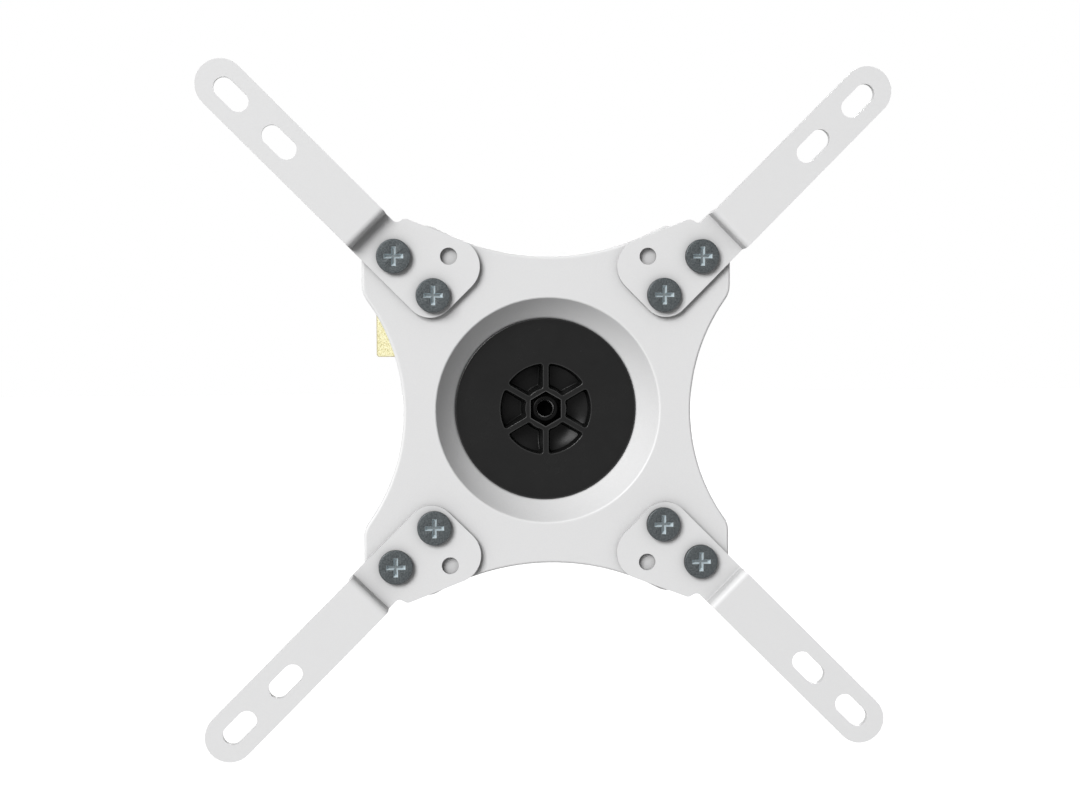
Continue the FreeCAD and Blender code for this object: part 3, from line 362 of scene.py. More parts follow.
FINISHES: dict[Slot, Finish] = {
    # Painted shade: the white coat darkens in corners, creases and the dish, within 25 mm
    Slot.WHITE: Finish(
        "white_powder_coat", (0.782, 0.782, 0.785), (0.797, 0.797, 0.80),
        mottle_scale=2500.0, mottle_spread=0.16, roughness=0.40, roughness_swing=0.03,
        grain_scale=4000.0, specular=0.25, painted_crease_shade=0.68, painted_shade_reach=25.0 * MM),
    Slot.YELLOW: Finish(
        "yellow_passivated_zinc", (0.80, 0.72, 0.33), (1.0, 0.98, 0.72),
        mottle_scale=2100.0, mottle_spread=0.14, roughness=0.34, roughness_swing=0.08,
        grain_scale=2000.0, grain_coarse=0.4, grain_depth=0.10 * MM,
        metallic=0.4, edge_reach=0.5 * MM, edge_colour=(0.42, 0.36, 0.20)),
    # Painted shade: the moulding darkens in its pockets and corners, within 6 mm
    Slot.BLACK: Finish(
        "black_moulded_plastic", (0.009, 0.009, 0.009), (0.011, 0.011, 0.011),
        mottle_scale=140.0, roughness=0.26, roughness_swing=0.02,
        grain_scale=1300.0, grain_depth=0.012 * MM, specular=0.15,
        painted_crease_shade=0.8, painted_shade_reach=6.0 * MM, edge_reach=0.4 * MM, edge_specular=0.8),
    Slot.SCREW: Finish(
        "dark_coated_steel", (0.052, 0.058, 0.061), (0.104, 0.115, 0.119),
        mottle_scale=2300.0, mottle_spread=0.10, roughness=0.42, roughness_swing=0.08,
        grain_scale=2600.0, grain_coarse=0.4, grain_depth=0.04 * MM,
        metallic=1.0, bare_and_highlight=(0.48, 0.55, 0.58)),
    Slot.BLACK_STEEL: Finish(
        "blackened_steel", (0.003, 0.003, 0.003), (0.005, 0.005, 0.005),
        mottle_scale=500.0, roughness=0.30, roughness_swing=0.04,
        grain_scale=1200.0, grain_coarse=0.4, grain_depth=0.02 * MM, specular=0.06),
    Slot.ZINC: Finish(
        "bright_zinc", (0.42, 0.435, 0.455), (0.50, 0.51, 0.53),
        mottle_scale=620.0, mottle_spread=0.25, roughness=0.28, roughness_swing=0.03,
        grain_scale=1100.0, metallic=1.0),
    Slot.SPRING: Finish(
        "oiled_spring_steel", (0.16, 0.15, 0.14), (0.24, 0.23, 0.21),
        mottle_scale=300.0, roughness=0.32, roughness_swing=0.06,
        grain_scale=900.0, grain_depth=0.02 * MM, metallic=1.0, drawn=(1.0, 0.05, 1.0)),
    Slot.NYLON: Finish(
        "black_nylon", (0.025, 0.025, 0.026), (0.035, 0.035, 0.036),
        mottle_scale=160.0, roughness=0.40, roughness_swing=0.04, grain_scale=900.0, specular=0.4),
    Slot.FRICTION: Finish(
        "pale_friction_plastic", (0.58, 0.56, 0.50), (0.64, 0.62, 0.56),
        mottle_scale=120.0, roughness=0.45, roughness_swing=0.05, grain_scale=700.0, specular=0.4),
}

# The coat on the pressed plate, with a painted highlight: its thin edges are painted near white
RIM_PAINTED_HIGHLIGHT_FINISH = replace(
    FINISHES[Slot.WHITE], name="white_powder_coat_painted_rim_highlight",
    edge_reach=0.8 * MM, edge_colour=(0.95, 0.95, 0.95))

# The clamp bolt, darker than its nut, with a bare ring round its end. Painted shade: it is near
# black with almost no specular, so its end in the nut's bore reads as deep shade; the light ring is
# bare metal and a painted highlight.
BOLT_PAINTED_SHADE_FINISH = replace(
    FINISHES[Slot.BLACK_STEEL], name="blackened_bolt_painted_shade", low=(0.0004, 0.0004, 0.0004),
    high=(0.0006, 0.0006, 0.0006), roughness=0.50, specular=0.005, bare_and_highlight=(0.30, 0.30, 0.30))


class Palette:
    """Materials of the mount: one for each slot, the pressed plate's with its painted edge
    highlight, and the clamp bolt's, which is painted as shade.
    """

    def __init__(self) -> None:
        """Build every material."""
        effects = Effects()
        self.materials = {slot: finish.build(effects) for slot, finish in FINISHES.items()}
        self.pressed_rim_highlight = RIM_PAINTED_HIGHLIGHT_FINISH.build(effects)
        self.bolt = BOLT_PAINTED_SHADE_FINISH.build(effects)

    def dress(self, slot: Slot, *nodes: str, material: Material | None = None) -> None:
        """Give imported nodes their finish.

        Args:
            slot: The slot they take it from.
            *nodes: The nodes' names.
            material: Their own material, where the slot's own isn't used.
        """
        for node in nodes:
            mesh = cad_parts[node].data
            mesh.materials.clear()
            mesh.materials.append(material or self.materials[slot])


def linked(name: str, data: ID) -> Object:
    """Make an object and link it to the scene.

    Args:
        name: The object's name.
        data: Its mesh, lamp or camera.

    Returns:
        The new object.
    """
    thing = bpy.data.objects.new(name, data)
    bpy.context.scene.collection.objects.link(thing)
    return thing


def meshed(name: str, work: BMesh) -> Mesh:
    """Turn worked geometry into a mesh.

    Args:
        name: The mesh's name.
        work: The geometry; it is freed.

    Returns:
        The new mesh.
    """
    mesh = bpy.data.meshes.new(name)
    work.to_mesh(mesh)
    work.free()
    return mesh


def placing(foot: Vector, direction: Vector) -> Matrix:
    """Matrix that stands a piece drawn up Z on a foot point, along a direction.

    Args:
        foot: Where the piece's origin goes.
        direction: Where its Z axis goes.

    Returns:
        The placing matrix.
    """
    return Matrix.Translation(foot) @ direction.to_track_quat("Z", "Y").to_matrix().to_4x4()


def moved(work: BMesh, foot: Vector, direction: Vector) -> None:
    """Stand worked geometry on a foot point, along a direction.

    Args:
        work: The geometry to move.
        foot: Where its origin goes.
        direction: Where its Z axis goes.
    """
    bmesh.ops.transform(work, verts=work.verts, matrix=placing(foot, direction))


def rounded(radius: float, height: float, ease: float, steps: int) -> list[tuple[float, float]]:
    """Quarter round at the upper outer edge of a turned outline.

    Args:
        radius: Outer radius.
        height: Height of the top face.
        ease: Radius of the rounding.
        steps: Number of chords.

    Returns:
        Its (radius, height) points, from below upwards.
    """
    angles = [math.pi / 2 * step / steps for step in range(steps + 1)]
    return [(radius - ease + ease * math.cos(angle), height - ease + ease * math.sin(angle))
            for angle in angles]


def spin_outline(work: BMesh, outline: Sequence[tuple[float, float]], steps: int) -> None:
    """Turn an open (radius, height) outline about Z into a closed skin.

    Args:
        work: The mesh to add to.
        outline: Points from the axis out and back to the axis.
        steps: Number of facets round.
    """
    verts = [work.verts.new((radius, 0.0, height)) for radius, height in outline]
    edges = [work.edges.new(pair) for pair in zip(verts, verts[1:])]
    bmesh.ops.spin(
        work, geom=verts + edges, cent=(0, 0, 0), axis=(0, 0, 1), dvec=(0, 0, 0), angle=math.tau,
        steps=steps, use_merge=True, use_duplicate=False)


def add_thread(work: BMesh, radius: float, pitch: float, start: float, length: float,
               steps: int = 28) -> None:
    """Wind a pointed thread ridge round Z, outwards to a radius.

    Args:
        work: The mesh to add to.
        radius: Outer radius of the thread.
        pitch: Rise of one turn.
        start: Height where it starts.
        length: Threaded length.
        steps: Facets in a turn.
    """
    root = radius - pitch * THREAD_DEPTH
    half = pitch * THREAD_HALF
    crest = half * THREAD_CREST
    turns = (length - pitch) / pitch
    profile = ((root, -half), (radius, -crest), (radius, crest), (root, half))
    verts = [work.verts.new((out, 0.0, start + pitch / 2 + rise)) for out, rise in profile]
    face = work.faces.new(verts)
    count = round(turns * steps)
    bmesh.ops.spin(
        work, geom=[face], cent=(0, 0, 0), axis=(0, 0, 1), dvec=(0, 0, turns * pitch / count),
        angle=math.tau * turns, steps=count, use_merge=False, use_duplicate=False)


def closed(work: BMesh) -> None:
    """Merge doubles and turn every face outwards.

    Args:
        work: The mesh to tidy.
    """
    bmesh.ops.remove_doubles(work, verts=work.verts, dist=MERGE_GAP)
    bmesh.ops.recalc_face_normals(work, faces=work.faces)


@dataclass
class Maker:
    """Turns worked meshes into finished pieces, smooth up to an angle between faces."""

    palette: Palette
    smooth_angle: float = math.radians(35)

    def piece(self, name: str, work: BMesh, slot: Slot, body: Body,
              stands_for: Sequence[str] = (), material: Material | None = None) -> Object:
        """Make an object from a mesh, dress it and let it ride on its body.

        Args:
            name: The object's name.
            work: Its mesh, in place in metres; it is freed.
            slot: The slot it takes its finish from.
            body: The body it rides on.
            stands_for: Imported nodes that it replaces.
            material: Its own material, where the slot's own isn't used.

        Returns:
            The new object.
        """
        mesh = meshed(name, work)
        mesh.shade_smooth()
        mesh.set_sharp_from_angle(angle=self.smooth_angle)
        mesh.materials.append(material or self.palette.materials[slot])
        thing = linked(name, mesh)
        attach(thing, body.value)
        if stands_for:
            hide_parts(*stands_for)
        LOG.info("piece %s: %d faces", name, len(mesh.polygons))
        return thing


def copied(source: BMesh, target: BMesh, matrix: Matrix) -> None:
    """Add a moved copy of one mesh to another.

    Args:
        source: The mesh to copy.
        target: The mesh to add to.
        matrix: Where the copy goes.
    """
    scratch = bpy.data.meshes.new("scratch")
    source.to_mesh(scratch)
    scratch.transform(matrix)
    target.from_mesh(scratch)
    bpy.data.meshes.remove(scratch)


def cut_away(work: BMesh, cutter: BMesh) -> BMesh:
    """Cut one closed mesh out of another.

    Args:
        work: The mesh that is cut; it is freed.
        cutter: The mesh that is taken away; it is freed.

    Returns:
        The cut mesh.
    """
    body = linked("cut_body", meshed("cut_body", work))
    tool = linked("cut_tool", meshed("cut_tool", cutter))
    change = body.modifiers.new("cut", "BOOLEAN")
    change.operation = "DIFFERENCE"
    change.solver = "EXACT"
    change.object = tool
    bpy.context.view_layer.update()
    evaluated = body.evaluated_get(bpy.context.evaluated_depsgraph_get())
    result = bmesh.new()
    result.from_mesh(evaluated.to_mesh())
    for thing in (body, tool):
        mesh = thing.data
        bpy.data.objects.remove(thing)
        bpy.data.meshes.remove(mesh)
    return result


@dataclass(frozen=True)
class PanScrew:
    """Pan head cross recess screw, drawn from its seat with the head up Z."""

    shank_r: float
    head_r: float
    head_h: float
    length: float
    pitch: float
    plain: float
    cross_span: float = 6.2 * MM
    cross_width: float = 1.4 * MM
    cross_depth: float = 1.3 * MM
    cross_taper: float = 0.4 * MM
    web_r: float = 1.0 * MM
    web_taper: float = 0.5
    web_sides: int = 8
    head_edge: float = 0.25 * MM
    head_foot_chamfer: float = 0.15 * MM
    head_facets: int = 64
    shank_facets: int = 32
    edge_steps: int = 6
    tip_share: float = 0.2
    lead: float = 0.4 * MM
    mouth_ease: float = 0.07 * MM
    wall_slope: float = 0.85
    floor_rub: float = 0.25

    def head(self) -> BMesh:
        """Head with a rounded edge and its recess.

        Returns:
            The head's mesh.
        """
        work = bmesh.new()
        chamfer = self.head_foot_chamfer
        outline = [(0.0, 0.0), (self.head_r - chamfer, 0.0), (self.head_r, chamfer)]
        outline += rounded(self.head_r, self.head_h, self.head_edge, self.edge_steps)
        outline.append((0.0, self.head_h))
        spin_outline(work, outline, self.head_facets)
        closed(work)
        for cutter in (self.blade(0.0), self.blade(math.pi / 2), self.web()):
            work = cut_away(work, cutter)
        mouth = [edge for edge in work.edges if self.at_mouth(edge)]
        bmesh.ops.bevel(
            work, geom=mouth, offset=self.mouth_ease, offset_type="OFFSET", segments=2, profile=0.5,
            affect="EDGES", material=-1, clamp_overlap=True)
        bare_and_highlight = work.faces.layers.float.new(BARE_AND_HIGHLIGHT_FACES)
        for face in work.faces:
            face[bare_and_highlight] = self.rubbed(face)
        return work

    def rubbed(self, face: BMFace) -> float:
        """How much of the coat the driver has rubbed off a face.

        Args:
            face: The face to judge.

        Returns:
            1 on the walls of the recess, less on its floor, 0 outside it.
        """
        middle = face.calc_center_median()
        inside = middle.xy.length < self.cross_span / 2 + self.mouth_ease
        if not inside or not LEVEL < middle.z < self.head_h - LEVEL:
            return 0.0
        return 1.0 if abs(face.normal.z) < self.wall_slope else self.floor_rub

    def at_mouth(self, edge: BMEdge) -> bool:
        """Whether an edge runs round the mouth of the recess.

        Args:
            edge: The edge to judge.

        Returns:
            True where it lies in the top face and leads down into the recess.
        """
        near = all(vert.co.z > self.head_h - LEVEL for vert in edge.verts)
        return near and len(edge.link_faces) == 2 and edge.calc_face_angle() > MOUTH_ANGLE

    def blade(self, turn: float) -> BMesh:
        """One tapered arm pair of the cross.

        Args:
            turn: Its turn about the screw's axis.

        Returns:
            The cutter's mesh.
        """
        work = bmesh.new()
        made = bmesh.ops.create_cube(work, size=1.0)["verts"]
        for vert in made:
            low = vert.co.z < 0
            trim = self.cross_taper if low else -self.cross_taper * self.lead / self.cross_depth
            reach = math.copysign(self.cross_span / 2 - 2 * trim, vert.co.x)
            half = math.copysign(self.cross_width / 2 - trim, vert.co.y)
            height = self.head_h - self.cross_depth if low else self.head_h + self.lead
            vert.co = Vector((reach, half, height))
        bmesh.ops.rotate(work, verts=made, cent=(0, 0, 0), matrix=Matrix.Rotation(turn, 3, "Z"))
        return work

    def web(self) -> BMesh:
        """Round tapered middle of the cross.

        Returns:
            The cutter's mesh.
        """
        work = bmesh.new()
        lift = Matrix.Translation((0, 0, self.head_h + (self.lead - self.cross_depth) / 2))
        bmesh.ops.create_cone(
            work, cap_ends=True, segments=self.web_sides, radius1=self.web_r * self.web_taper,
            radius2=self.web_r, depth=self.cross_depth + self.lead,
            matrix=lift @ Matrix.Rotation(math.pi / self.web_sides, 4, "Z"))
        return work

    def build(self) -> BMesh:
        """The whole screw.

        Returns:
            Its mesh.
        """
        work = self.head()
        core = self.shank_r - self.pitch * THREAD_CORE
        tip = self.shank_r * self.tip_share
        spin_outline(work, [
            (0.0, OVERLAP), (self.shank_r, OVERLAP), (self.shank_r, -self.plain),
            (core, -self.plain - tip), (core, tip - self.length), (core - tip, -self.length),
            (0.0, -self.length)], self.shank_facets)
        add_thread(work, self.shank_r, self.pitch, -self.length, self.length - self.plain)
        closed(work)
        return work


@dataclass(frozen=True)
class HexPart:
    """Hexagon with its corners turned off, as on a bolt head or a nut."""

    across: float
    height: float
    bore_r: float = 0.0
    flare: float = 0.12
    bore_facets: int = 32
    face_share: float = 0.95
    corner_slope: float = 0.55
    ring_inner: float = 0.8
    ring_outer: float = 1.3
    ring_rise: float = 0.2
    ring_facets: int = 72

    def build(self, work: BMesh, foot: float) -> None:
        """Add the hexagon up Z, its points along Y.

        Args:
            work: The mesh to add to.
            foot: Height of its lower face.
        """
        corner_r = self.across / math.sqrt(3)
        part = bmesh.new()
        lift = Matrix.Translation((0, 0, foot + self.height / 2))
        bmesh.ops.create_cone(
            part, cap_ends=True, segments=6, radius1=corner_r, radius2=corner_r,
            depth=self.height, matrix=lift @ Matrix.Rotation(math.pi / 6, 4, "Z"))
        part = self.turned_off(part, foot, corner_r)
        if self.bore_r > 0:
            bore = bmesh.new()
            reach = self.height * self.flare
            mouth_r = self.bore_r + 2 * reach
            top = foot + self.height
            spin_outline(bore, [
                (0.0, foot - reach), (mouth_r, foot - reach), (self.bore_r, foot + reach),
                (self.bore_r, top - reach), (mouth_r, top + reach), (0.0, top + reach)],
                self.bore_facets)
            closed(bore)
            part = cut_away(part, bore)
        copied(part, work, Matrix.Identity(4))
        part.free()

    def turned_off(self, part: BMesh, foot: float, corner_r: float) -> BMesh:
        """Cut the corners of both faces with a cone, which leaves the usual curved edges.

        Args:
            part: The plain hexagon; it is freed.
            foot: Height of its lower face.
            corner_r: Its radius over the corners.

        Returns:
            The cut hexagon.
        """
        flat_r = self.across / 2 * self.face_share
        inner = flat_r * self.ring_inner
        outer = corner_r * self.ring_outer
        for flip in (1.0, -1.0):
            face = foot + self.height if flip > 0 else foot
            ring = bmesh.new()
            top = face + flip * (flat_r * self.ring_rise * self.corner_slope)
            low = face - flip * (outer - flat_r) * self.corner_slope
            spin_outline(
                ring, [(inner, top), (outer, low), (outer, top), (inner, top)], self.ring_facets)
            closed(ring)
            part = cut_away(part, ring)
        return part


@dataclass(frozen=True)
class LockNut:
    """Hexagon nut with a rounded collar that grips the thread, drawn up Z from its seat."""

    bore_r: float
    across: float
    height: float
    rounding: float = 0.8 * MM
    hex_share: float = 0.7
    collar_share: float = 0.45
    collar_sunk: float = 0.2 * MM
    insert: tuple[tuple[float, float], ...] = (
        (0.25 * MM, 0.0), (0.08 * MM, 0.05 * MM), (0.0, 0.3 * MM))
    edge_steps: int = 6
    facets: int = 48

    def build(self) -> BMesh:
        """Hexagon, collar and bore.

        Returns:
            The nut's mesh.
        """
        work = bmesh.new()
        hex_h = self.height * self.hex_share
        HexPart(self.across, hex_h, self.bore_r).build(work, 0.0)
        collar_r = self.across * self.collar_share
        foot = hex_h - self.collar_sunk
        outline = [(self.bore_r, foot), (collar_r, foot)]
        outline += rounded(collar_r, self.height, self.rounding, self.edge_steps)
        outline += [(self.bore_r + out, self.height - down) for out, down in self.insert]
        outline.append((self.bore_r, foot))
        spin_outline(work, outline, self.facets)
        closed(work)
        return work


@dataclass(frozen=True)
class PivotBolt:
    """Upright pivot: hexagon bolt and lock nut, drawn down Z from the seat of the head."""

    shank_r: float
    across: float
    head_h: float
    nut_h: float
    pitch: float
    proud: float = 1.5 * MM
    run_out: float = 1.5 * MM
    tip_share: float = 0.15
    facets: int = 40

    def bolt(self, length: float) -> BMesh:
        """Hexagon bolt with a threaded end.

        Args:
            length: Length under the head.

        Returns:
            The bolt's mesh.
        """
        work = bmesh.new()
        HexPart(self.across, self.head_h).build(work, 0.0)
        threaded = self.nut_h + self.proud + self.run_out
        core = self.shank_r - self.pitch * THREAD_CORE
        tip = self.shank_r * self.tip_share
        spin_outline(work, [
            (0.0, OVERLAP), (self.shank_r, OVERLAP), (self.shank_r, threaded - length),
            (core, threaded - length - tip), (core, tip - length), (core - tip, -length),
            (0.0, -length)], self.facets)
        add_thread(work, self.shank_r, self.pitch, -length, threaded)
        closed(work)
        return work


@dataclass(frozen=True)
class Beads:
    """Weld beads: rippled half round strings along a path."""

    radius: float = 1.5 * MM
    ripple: float = 1.1 * MM
    swing: float = 0.14
    steps: int = 4
    sides: int = 10
    end_share: float = 0.4
    growth: float = 0.2

    def lay(self, work: BMesh, path: Sequence[Vector]) -> None:
        """Lay one bead along a path.

        Args:
            work: The mesh to add to.
            path: Points along the joint.
        """
        spots = self.spaced(path, self.ripple / self.steps)
        last = len(spots) - 1
        ring = bmesh.ops.create_circle(
            work, cap_ends=True, segments=self.sides, radius=self.radius * self.end_share)["verts"]
        start = placing(spots[0], (spots[1] - spots[0]).normalized())
        bmesh.ops.transform(work, matrix=start, verts=ring)
        edges = {edge for vert in ring for edge in vert.link_edges}
        edges = sorted(edges, key=lambda edge: edge.index)
        edges = [edge for edge in edges if edge.is_boundary or len(edge.link_faces) == 1]
        last_matrix = start @ Matrix.Scale(self.end_share, 4)
        for index, spot in enumerate(spots[1:], 1):
            heading = (spots[min(index + 1, last)] - spots[index - 1]).normalized()
            share = min(1.0, self.end_share + min(index, last - index) * self.growth)
            size = share * (1 + self.swing * math.sin(math.tau * index / self.steps))
            made = bmesh.ops.extrude_edge_only(work, edges=edges)["geom"]
            verts = [part for part in made if isinstance(part, BMVert)]
            edges = [part for part in made if isinstance(part, BMEdge)]
            edges = [edge for edge in edges if all(vert in verts for vert in edge.verts)]
            matrix = placing(spot, heading) @ Matrix.Scale(size, 4)
            bmesh.ops.transform(work, matrix=matrix @ last_matrix.inverted(), verts=verts)
            last_matrix = matrix
        bmesh.ops.holes_fill(work, edges=edges, sides=0)

    @staticmethod
    def spaced(path: Sequence[Vector], step: float) -> list[Vector]:
        """Points along a path at even steps.

        Args:
            path: The path's own points.
            step: Distance between the new points.

        Returns:
            The new points.
        """
        spots = [path[0]]
        for start, end in zip(path, path[1:]):
            count = max(1, round((end - start).length / step))
            spots += [start.lerp(end, number / count) for number in range(1, count + 1)]
        return spots


@dataclass
class ScreenSide:
    """Screen plate, its four arms and their screws."""

    outer_screw: float = 50.0 * MM
    inner_screw: float = 37.5 * MM
    screw: PanScrew = PanScrew(
        shank_r=2.45 * MM, head_r=5.5 * MM, head_h=2.0 * MM, length=12.0 * MM, pitch=0.8 * MM,
        plain=4.0 * MM)
    nut: HexPart = HexPart(across=8.0 * MM, height=4.0 * MM, bore_r=2.5 * MM)

    def dress(self, maker: Maker) -> None:
        """Finish the plate and arms, and build the screws and nuts.

        Args:
            maker: Makes the pieces.
        """
        maker.palette.dress(Slot.WHITE, "dish_plate", material=maker.palette.pressed_rim_highlight)
        maker.palette.dress(
            Slot.WHITE, "arm_top_left", "arm_top_right", "arm_bottom_left", "arm_bottom_right")
        screw = self.screw.build()
        screws = bmesh.new()
        nut = bmesh.new()
        self.nut.build(nut, 0.0)
        nuts = bmesh.new()
        front_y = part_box("arm_screws")[0].y + self.screw.head_h
        back_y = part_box("arm_nuts")[0].y
        for spot in self.spots():
            copied(screw, screws, placing(Vector((spot.x, front_y, spot.z)), TOWARD_SCREEN))
            copied(nut, nuts, placing(Vector((spot.x, back_y, spot.z)), TOWARD_WALL))
        screw.free()
        nut.free()
        maker.piece("pan_head_screws", screws, Slot.SCREW, Body.SCREEN, ["arm_screws"])
        maker.piece("screw_nuts", nuts, Slot.ZINC, Body.SCREEN, ["arm_nuts"])

    def spots(self) -> list[Vector]:
        """Where the eight screws stand.

        Returns:
            Points on the screw axes.
        """
        low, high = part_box("dish_plate")
        return [(low + high) / 2 + Vector((side_x * reach, 0, side_z * reach))
                for side_x in (-1, 1) for side_z in (-1, 1)
                for reach in (self.outer_screw, self.inner_screw)]


@dataclass
class Head:
    """Folded bracket and the ball joint on it: front disc, rings, cup, and the clamp bolt."""

    bolt_r: float = 3.0 * MM
    pitch: float = 1.0 * MM
    nut: LockNut = LockNut(bore_r=3.05 * MM, across=9.8 * MM, height=4.8 * MM)
    head: HexPart = HexPart(across=9.8 * MM, height=3.6 * MM)
    dimple: float = 2.2 * MM
    end_chamfer: float = 0.35 * MM
    threaded_share: float = 0.5
    head_rub: float = 0.09
    facets: int = 40

    def dress(self, maker: Maker) -> None:
        """Finish the bracket, disc, cup, rings and washers, and build the bolt and nut.

        Args:
            maker: Makes the pieces.
        """
        maker.palette.dress(Slot.WHITE, "head_bracket")
        maker.palette.dress(Slot.BLACK, "front_disc", "rear_cup")
        maker.palette.dress(Slot.FRICTION, "front_friction_ring", "rear_friction_ring")
        maker.palette.dress(Slot.ZINC, "clamp_washer")
        maker.palette.dress(Slot.SPRING, "clamp_spring_washers")
        low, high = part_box("clamp_nut")
        middle = (low + high) / 2
        work = self.nut.build()
        moved(work, Vector((middle.x, high.y, middle.z)), TOWARD_SCREEN)
        maker.piece("disc_nut", work, Slot.BLACK_STEEL, Body.HEAD, ["clamp_nut"])
        low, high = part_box("clamp_bolt")
        seat_y = high.y - self.head.height
        length = seat_y - low.y
        work = bmesh.new()
        self.head.build(work, -self.head.height)
        depth = self.pitch * THREAD_CORE
        core = self.bolt_r - depth
        plain = length * (1 - self.threaded_share)
        collar = length - depth
        chamfer = length - self.end_chamfer
        end_r = self.bolt_r - self.end_chamfer
        spin_outline(work, [
            (0.0, -OVERLAP), (self.bolt_r, -OVERLAP), (self.bolt_r, plain), (core, plain + depth),
            (core, collar), (self.bolt_r, collar), (self.bolt_r, chamfer), (end_r, length),
            (0.0, length - self.dimple)], self.facets)
        add_thread(work, self.bolt_r, self.pitch, plain, collar - plain)
        closed(work)
        # Painted highlight: the ring round the end takes the full light tone, the head a little of
        # it, and the rest stays near black as painted shade
        bare_and_highlight = work.faces.layers.float.new(BARE_AND_HIGHLIGHT_FACES)
        for face in work.faces:
            spot = face.calc_center_median()
            at_end = spot.z > chamfer and spot.xy.length > end_r
            face[bare_and_highlight] = 1.0 if at_end else self.head_rub if spot.z < 0 else 0.0
        moved(work, Vector((middle.x, seat_y, middle.z)), TOWARD_SCREEN)
        maker.piece("clamping_bolt", work, Slot.BLACK_STEEL, Body.HEAD, ["clamp_bolt"],
                    maker.palette.bolt)


@dataclass
class Pivot:
    """One upright pivot of the swing arm, with its bushes and washers."""

    name: str
    body: Body
    parts: PivotBolt
    nut_fit: float = 0.05 * MM

    def dress(self, maker: Maker) -> None:
        """Finish the bushes and washers, and build the bolt and lock nut.

        Args:
            maker: Makes the pieces.
        """
        maker.palette.dress(Slot.NYLON, f"{self.name}_bush_top", f"{self.name}_bush_bottom")
        maker.palette.dress(Slot.ZINC, f"{self.name}_pivot_washers")
        low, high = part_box(f"{self.name}_pivot_bolt")
        middle = (low + high) / 2
        seat = Vector((middle.x, middle.y, high.z - self.parts.head_h))
        work = self.parts.bolt(seat.z - low.z)
        bmesh.ops.translate(work, verts=work.verts, vec=seat)
        maker.piece(f"{self.name}_hinge_bolt", work, Slot.ZINC, self.body,
                    [f"{self.name}_pivot_bolt"])
        nut_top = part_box(f"{self.name}_pivot_nut")[1].z
        bore_r = self.parts.shank_r + self.nut_fit
        work = LockNut(bore_r, self.parts.across, self.parts.nut_h).build()
        moved(work, Vector((middle.x, middle.y, nut_top)), -UP)
        maker.piece(f"{self.name}_lock_nut", work, Slot.ZINC, self.body,
                    [f"{self.name}_pivot_nut"])


@dataclass
class Arm:
    """Swing arm with the weld beads at its two barrels."""

    barrel_r: float = 13.0 * MM
    cheek_x: float = 10.5 * MM
    barrel_ease: float = 1.5 * MM
    bush_flange: float = 1.5 * MM
    foot_margin: float = 2.0 * MM
    arc_steps: int = 14
    beads: Beads = Beads()

    def dress(self, maker: Maker) -> None:
        """Finish the arm and lay its beads.

        Args:
            maker: Makes the pieces.
        """
        maker.palette.dress(Slot.WHITE, "swing_arm")
        work = bmesh.new()
        for end, ahead in (("wall", -1), ("head", 1)):
            low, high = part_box(f"{end}_pivot_bolt")
            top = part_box(f"{end}_bush_top")[1].z - self.bush_flange - self.barrel_ease
            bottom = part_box(f"{end}_bush_bottom")[0].z + self.bush_flange + self.barrel_ease
            self.beads.lay(work, self.path((low + high) / 2, top, bottom, ahead))
        closed(work)
        maker.piece("arm_weld_beads", work, Slot.WHITE, Body.ARM)

    def path(self, pin: Vector, top: float, bottom: float, ahead: int) -> list[Vector]:
        """Joint between a barrel and the channel: up one cheek, over the top and down the other.

        Args:
            pin: A point on the barrel's axis.
            top: Height of the channel's top face.
            bottom: Height of the cheeks' lower edges.
            ahead: Side of the barrel that the channel is on, along Y.

        Returns:
            The path's points.
        """
        reach = math.asin(self.cheek_x / self.barrel_r)
        side_y = pin.y + ahead * self.barrel_r * math.cos(reach)
        foot_z = bottom + self.foot_margin
        points = [Vector((-self.cheek_x, side_y, foot_z))]
        for step in range(self.arc_steps + 1):
            angle = -reach + 2 * reach * step / self.arc_steps
            y = pin.y + ahead * self.barrel_r * math.cos(angle)
            points.append(Vector((self.barrel_r * math.sin(angle), y, top)))
        points.append(Vector((self.cheek_x, side_y, foot_z)))
        return points


@dataclass
class WallSide:
    """Wall plate, hooked base with its welded yoke, and the lock screw."""

    yoke_half_width: float = 22.0 * MM
    bead_half_height: float = 33.0 * MM
    ball_z: float = -30.0 * MM
    web_y: float = -11.0 * MM
    screw: PanScrew = PanScrew(
        shank_r=3.0 * MM, head_r=5.5 * MM, head_h=3.2 * MM, length=9.0 * MM, pitch=1.0 * MM,
        plain=2.0 * MM, cross_depth=2.0 * MM)
    beads: Beads = Beads()

    def dress(self, maker: Maker) -> None:
        """Finish the plates, and build the lock screw and the beads.

        Args:
            maker: Makes the pieces.
        """
        maker.palette.dress(Slot.YELLOW, "wall_plate")
        maker.palette.dress(Slot.WHITE, "wall_base")
        maker.palette.dress(Slot.ZINC, "press_nut")
        low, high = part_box("lock_screw")
        middle = (low + high) / 2
        work = self.screw.build()
        moved(work, Vector((middle.x, low.y + self.screw.head_h, middle.z)), TOWARD_SCREEN)
        maker.piece("base_lock_screw", work, Slot.SCREW, Body.WALL, ["lock_screw"])
        work = bmesh.new()
        foot_z = self.ball_z - self.bead_half_height
        for side in (-1, 1):
            foot = Vector((side * self.yoke_half_width, self.web_y, foot_z))
            self.beads.lay(work, [foot, foot + Vector((0, 0, 2 * self.bead_half_height))])
        closed(work)
        maker.piece("base_weld_beads", work, Slot.WHITE, Body.WALL)


@dataclass(frozen=True)
class Softbox:
    """Square area lamp."""

    name: str
    place: Triple
    side: float
    power: float

    def hang(self, target: Vector) -> None:
        """Make the lamp and turn it to a point.

        Args:
            target: The point it looks at.
        """
        data = bpy.data.lights.new(self.name, "AREA")
        data.size = self.side
        data.energy = self.power
        lamp = linked(self.name, data)
        lamp.location = self.place
        lamp.rotation_mode = "QUATERNION"
        lamp.rotation_quaternion = (target - Vector(self.place)).to_track_quat("-Z", "Y")


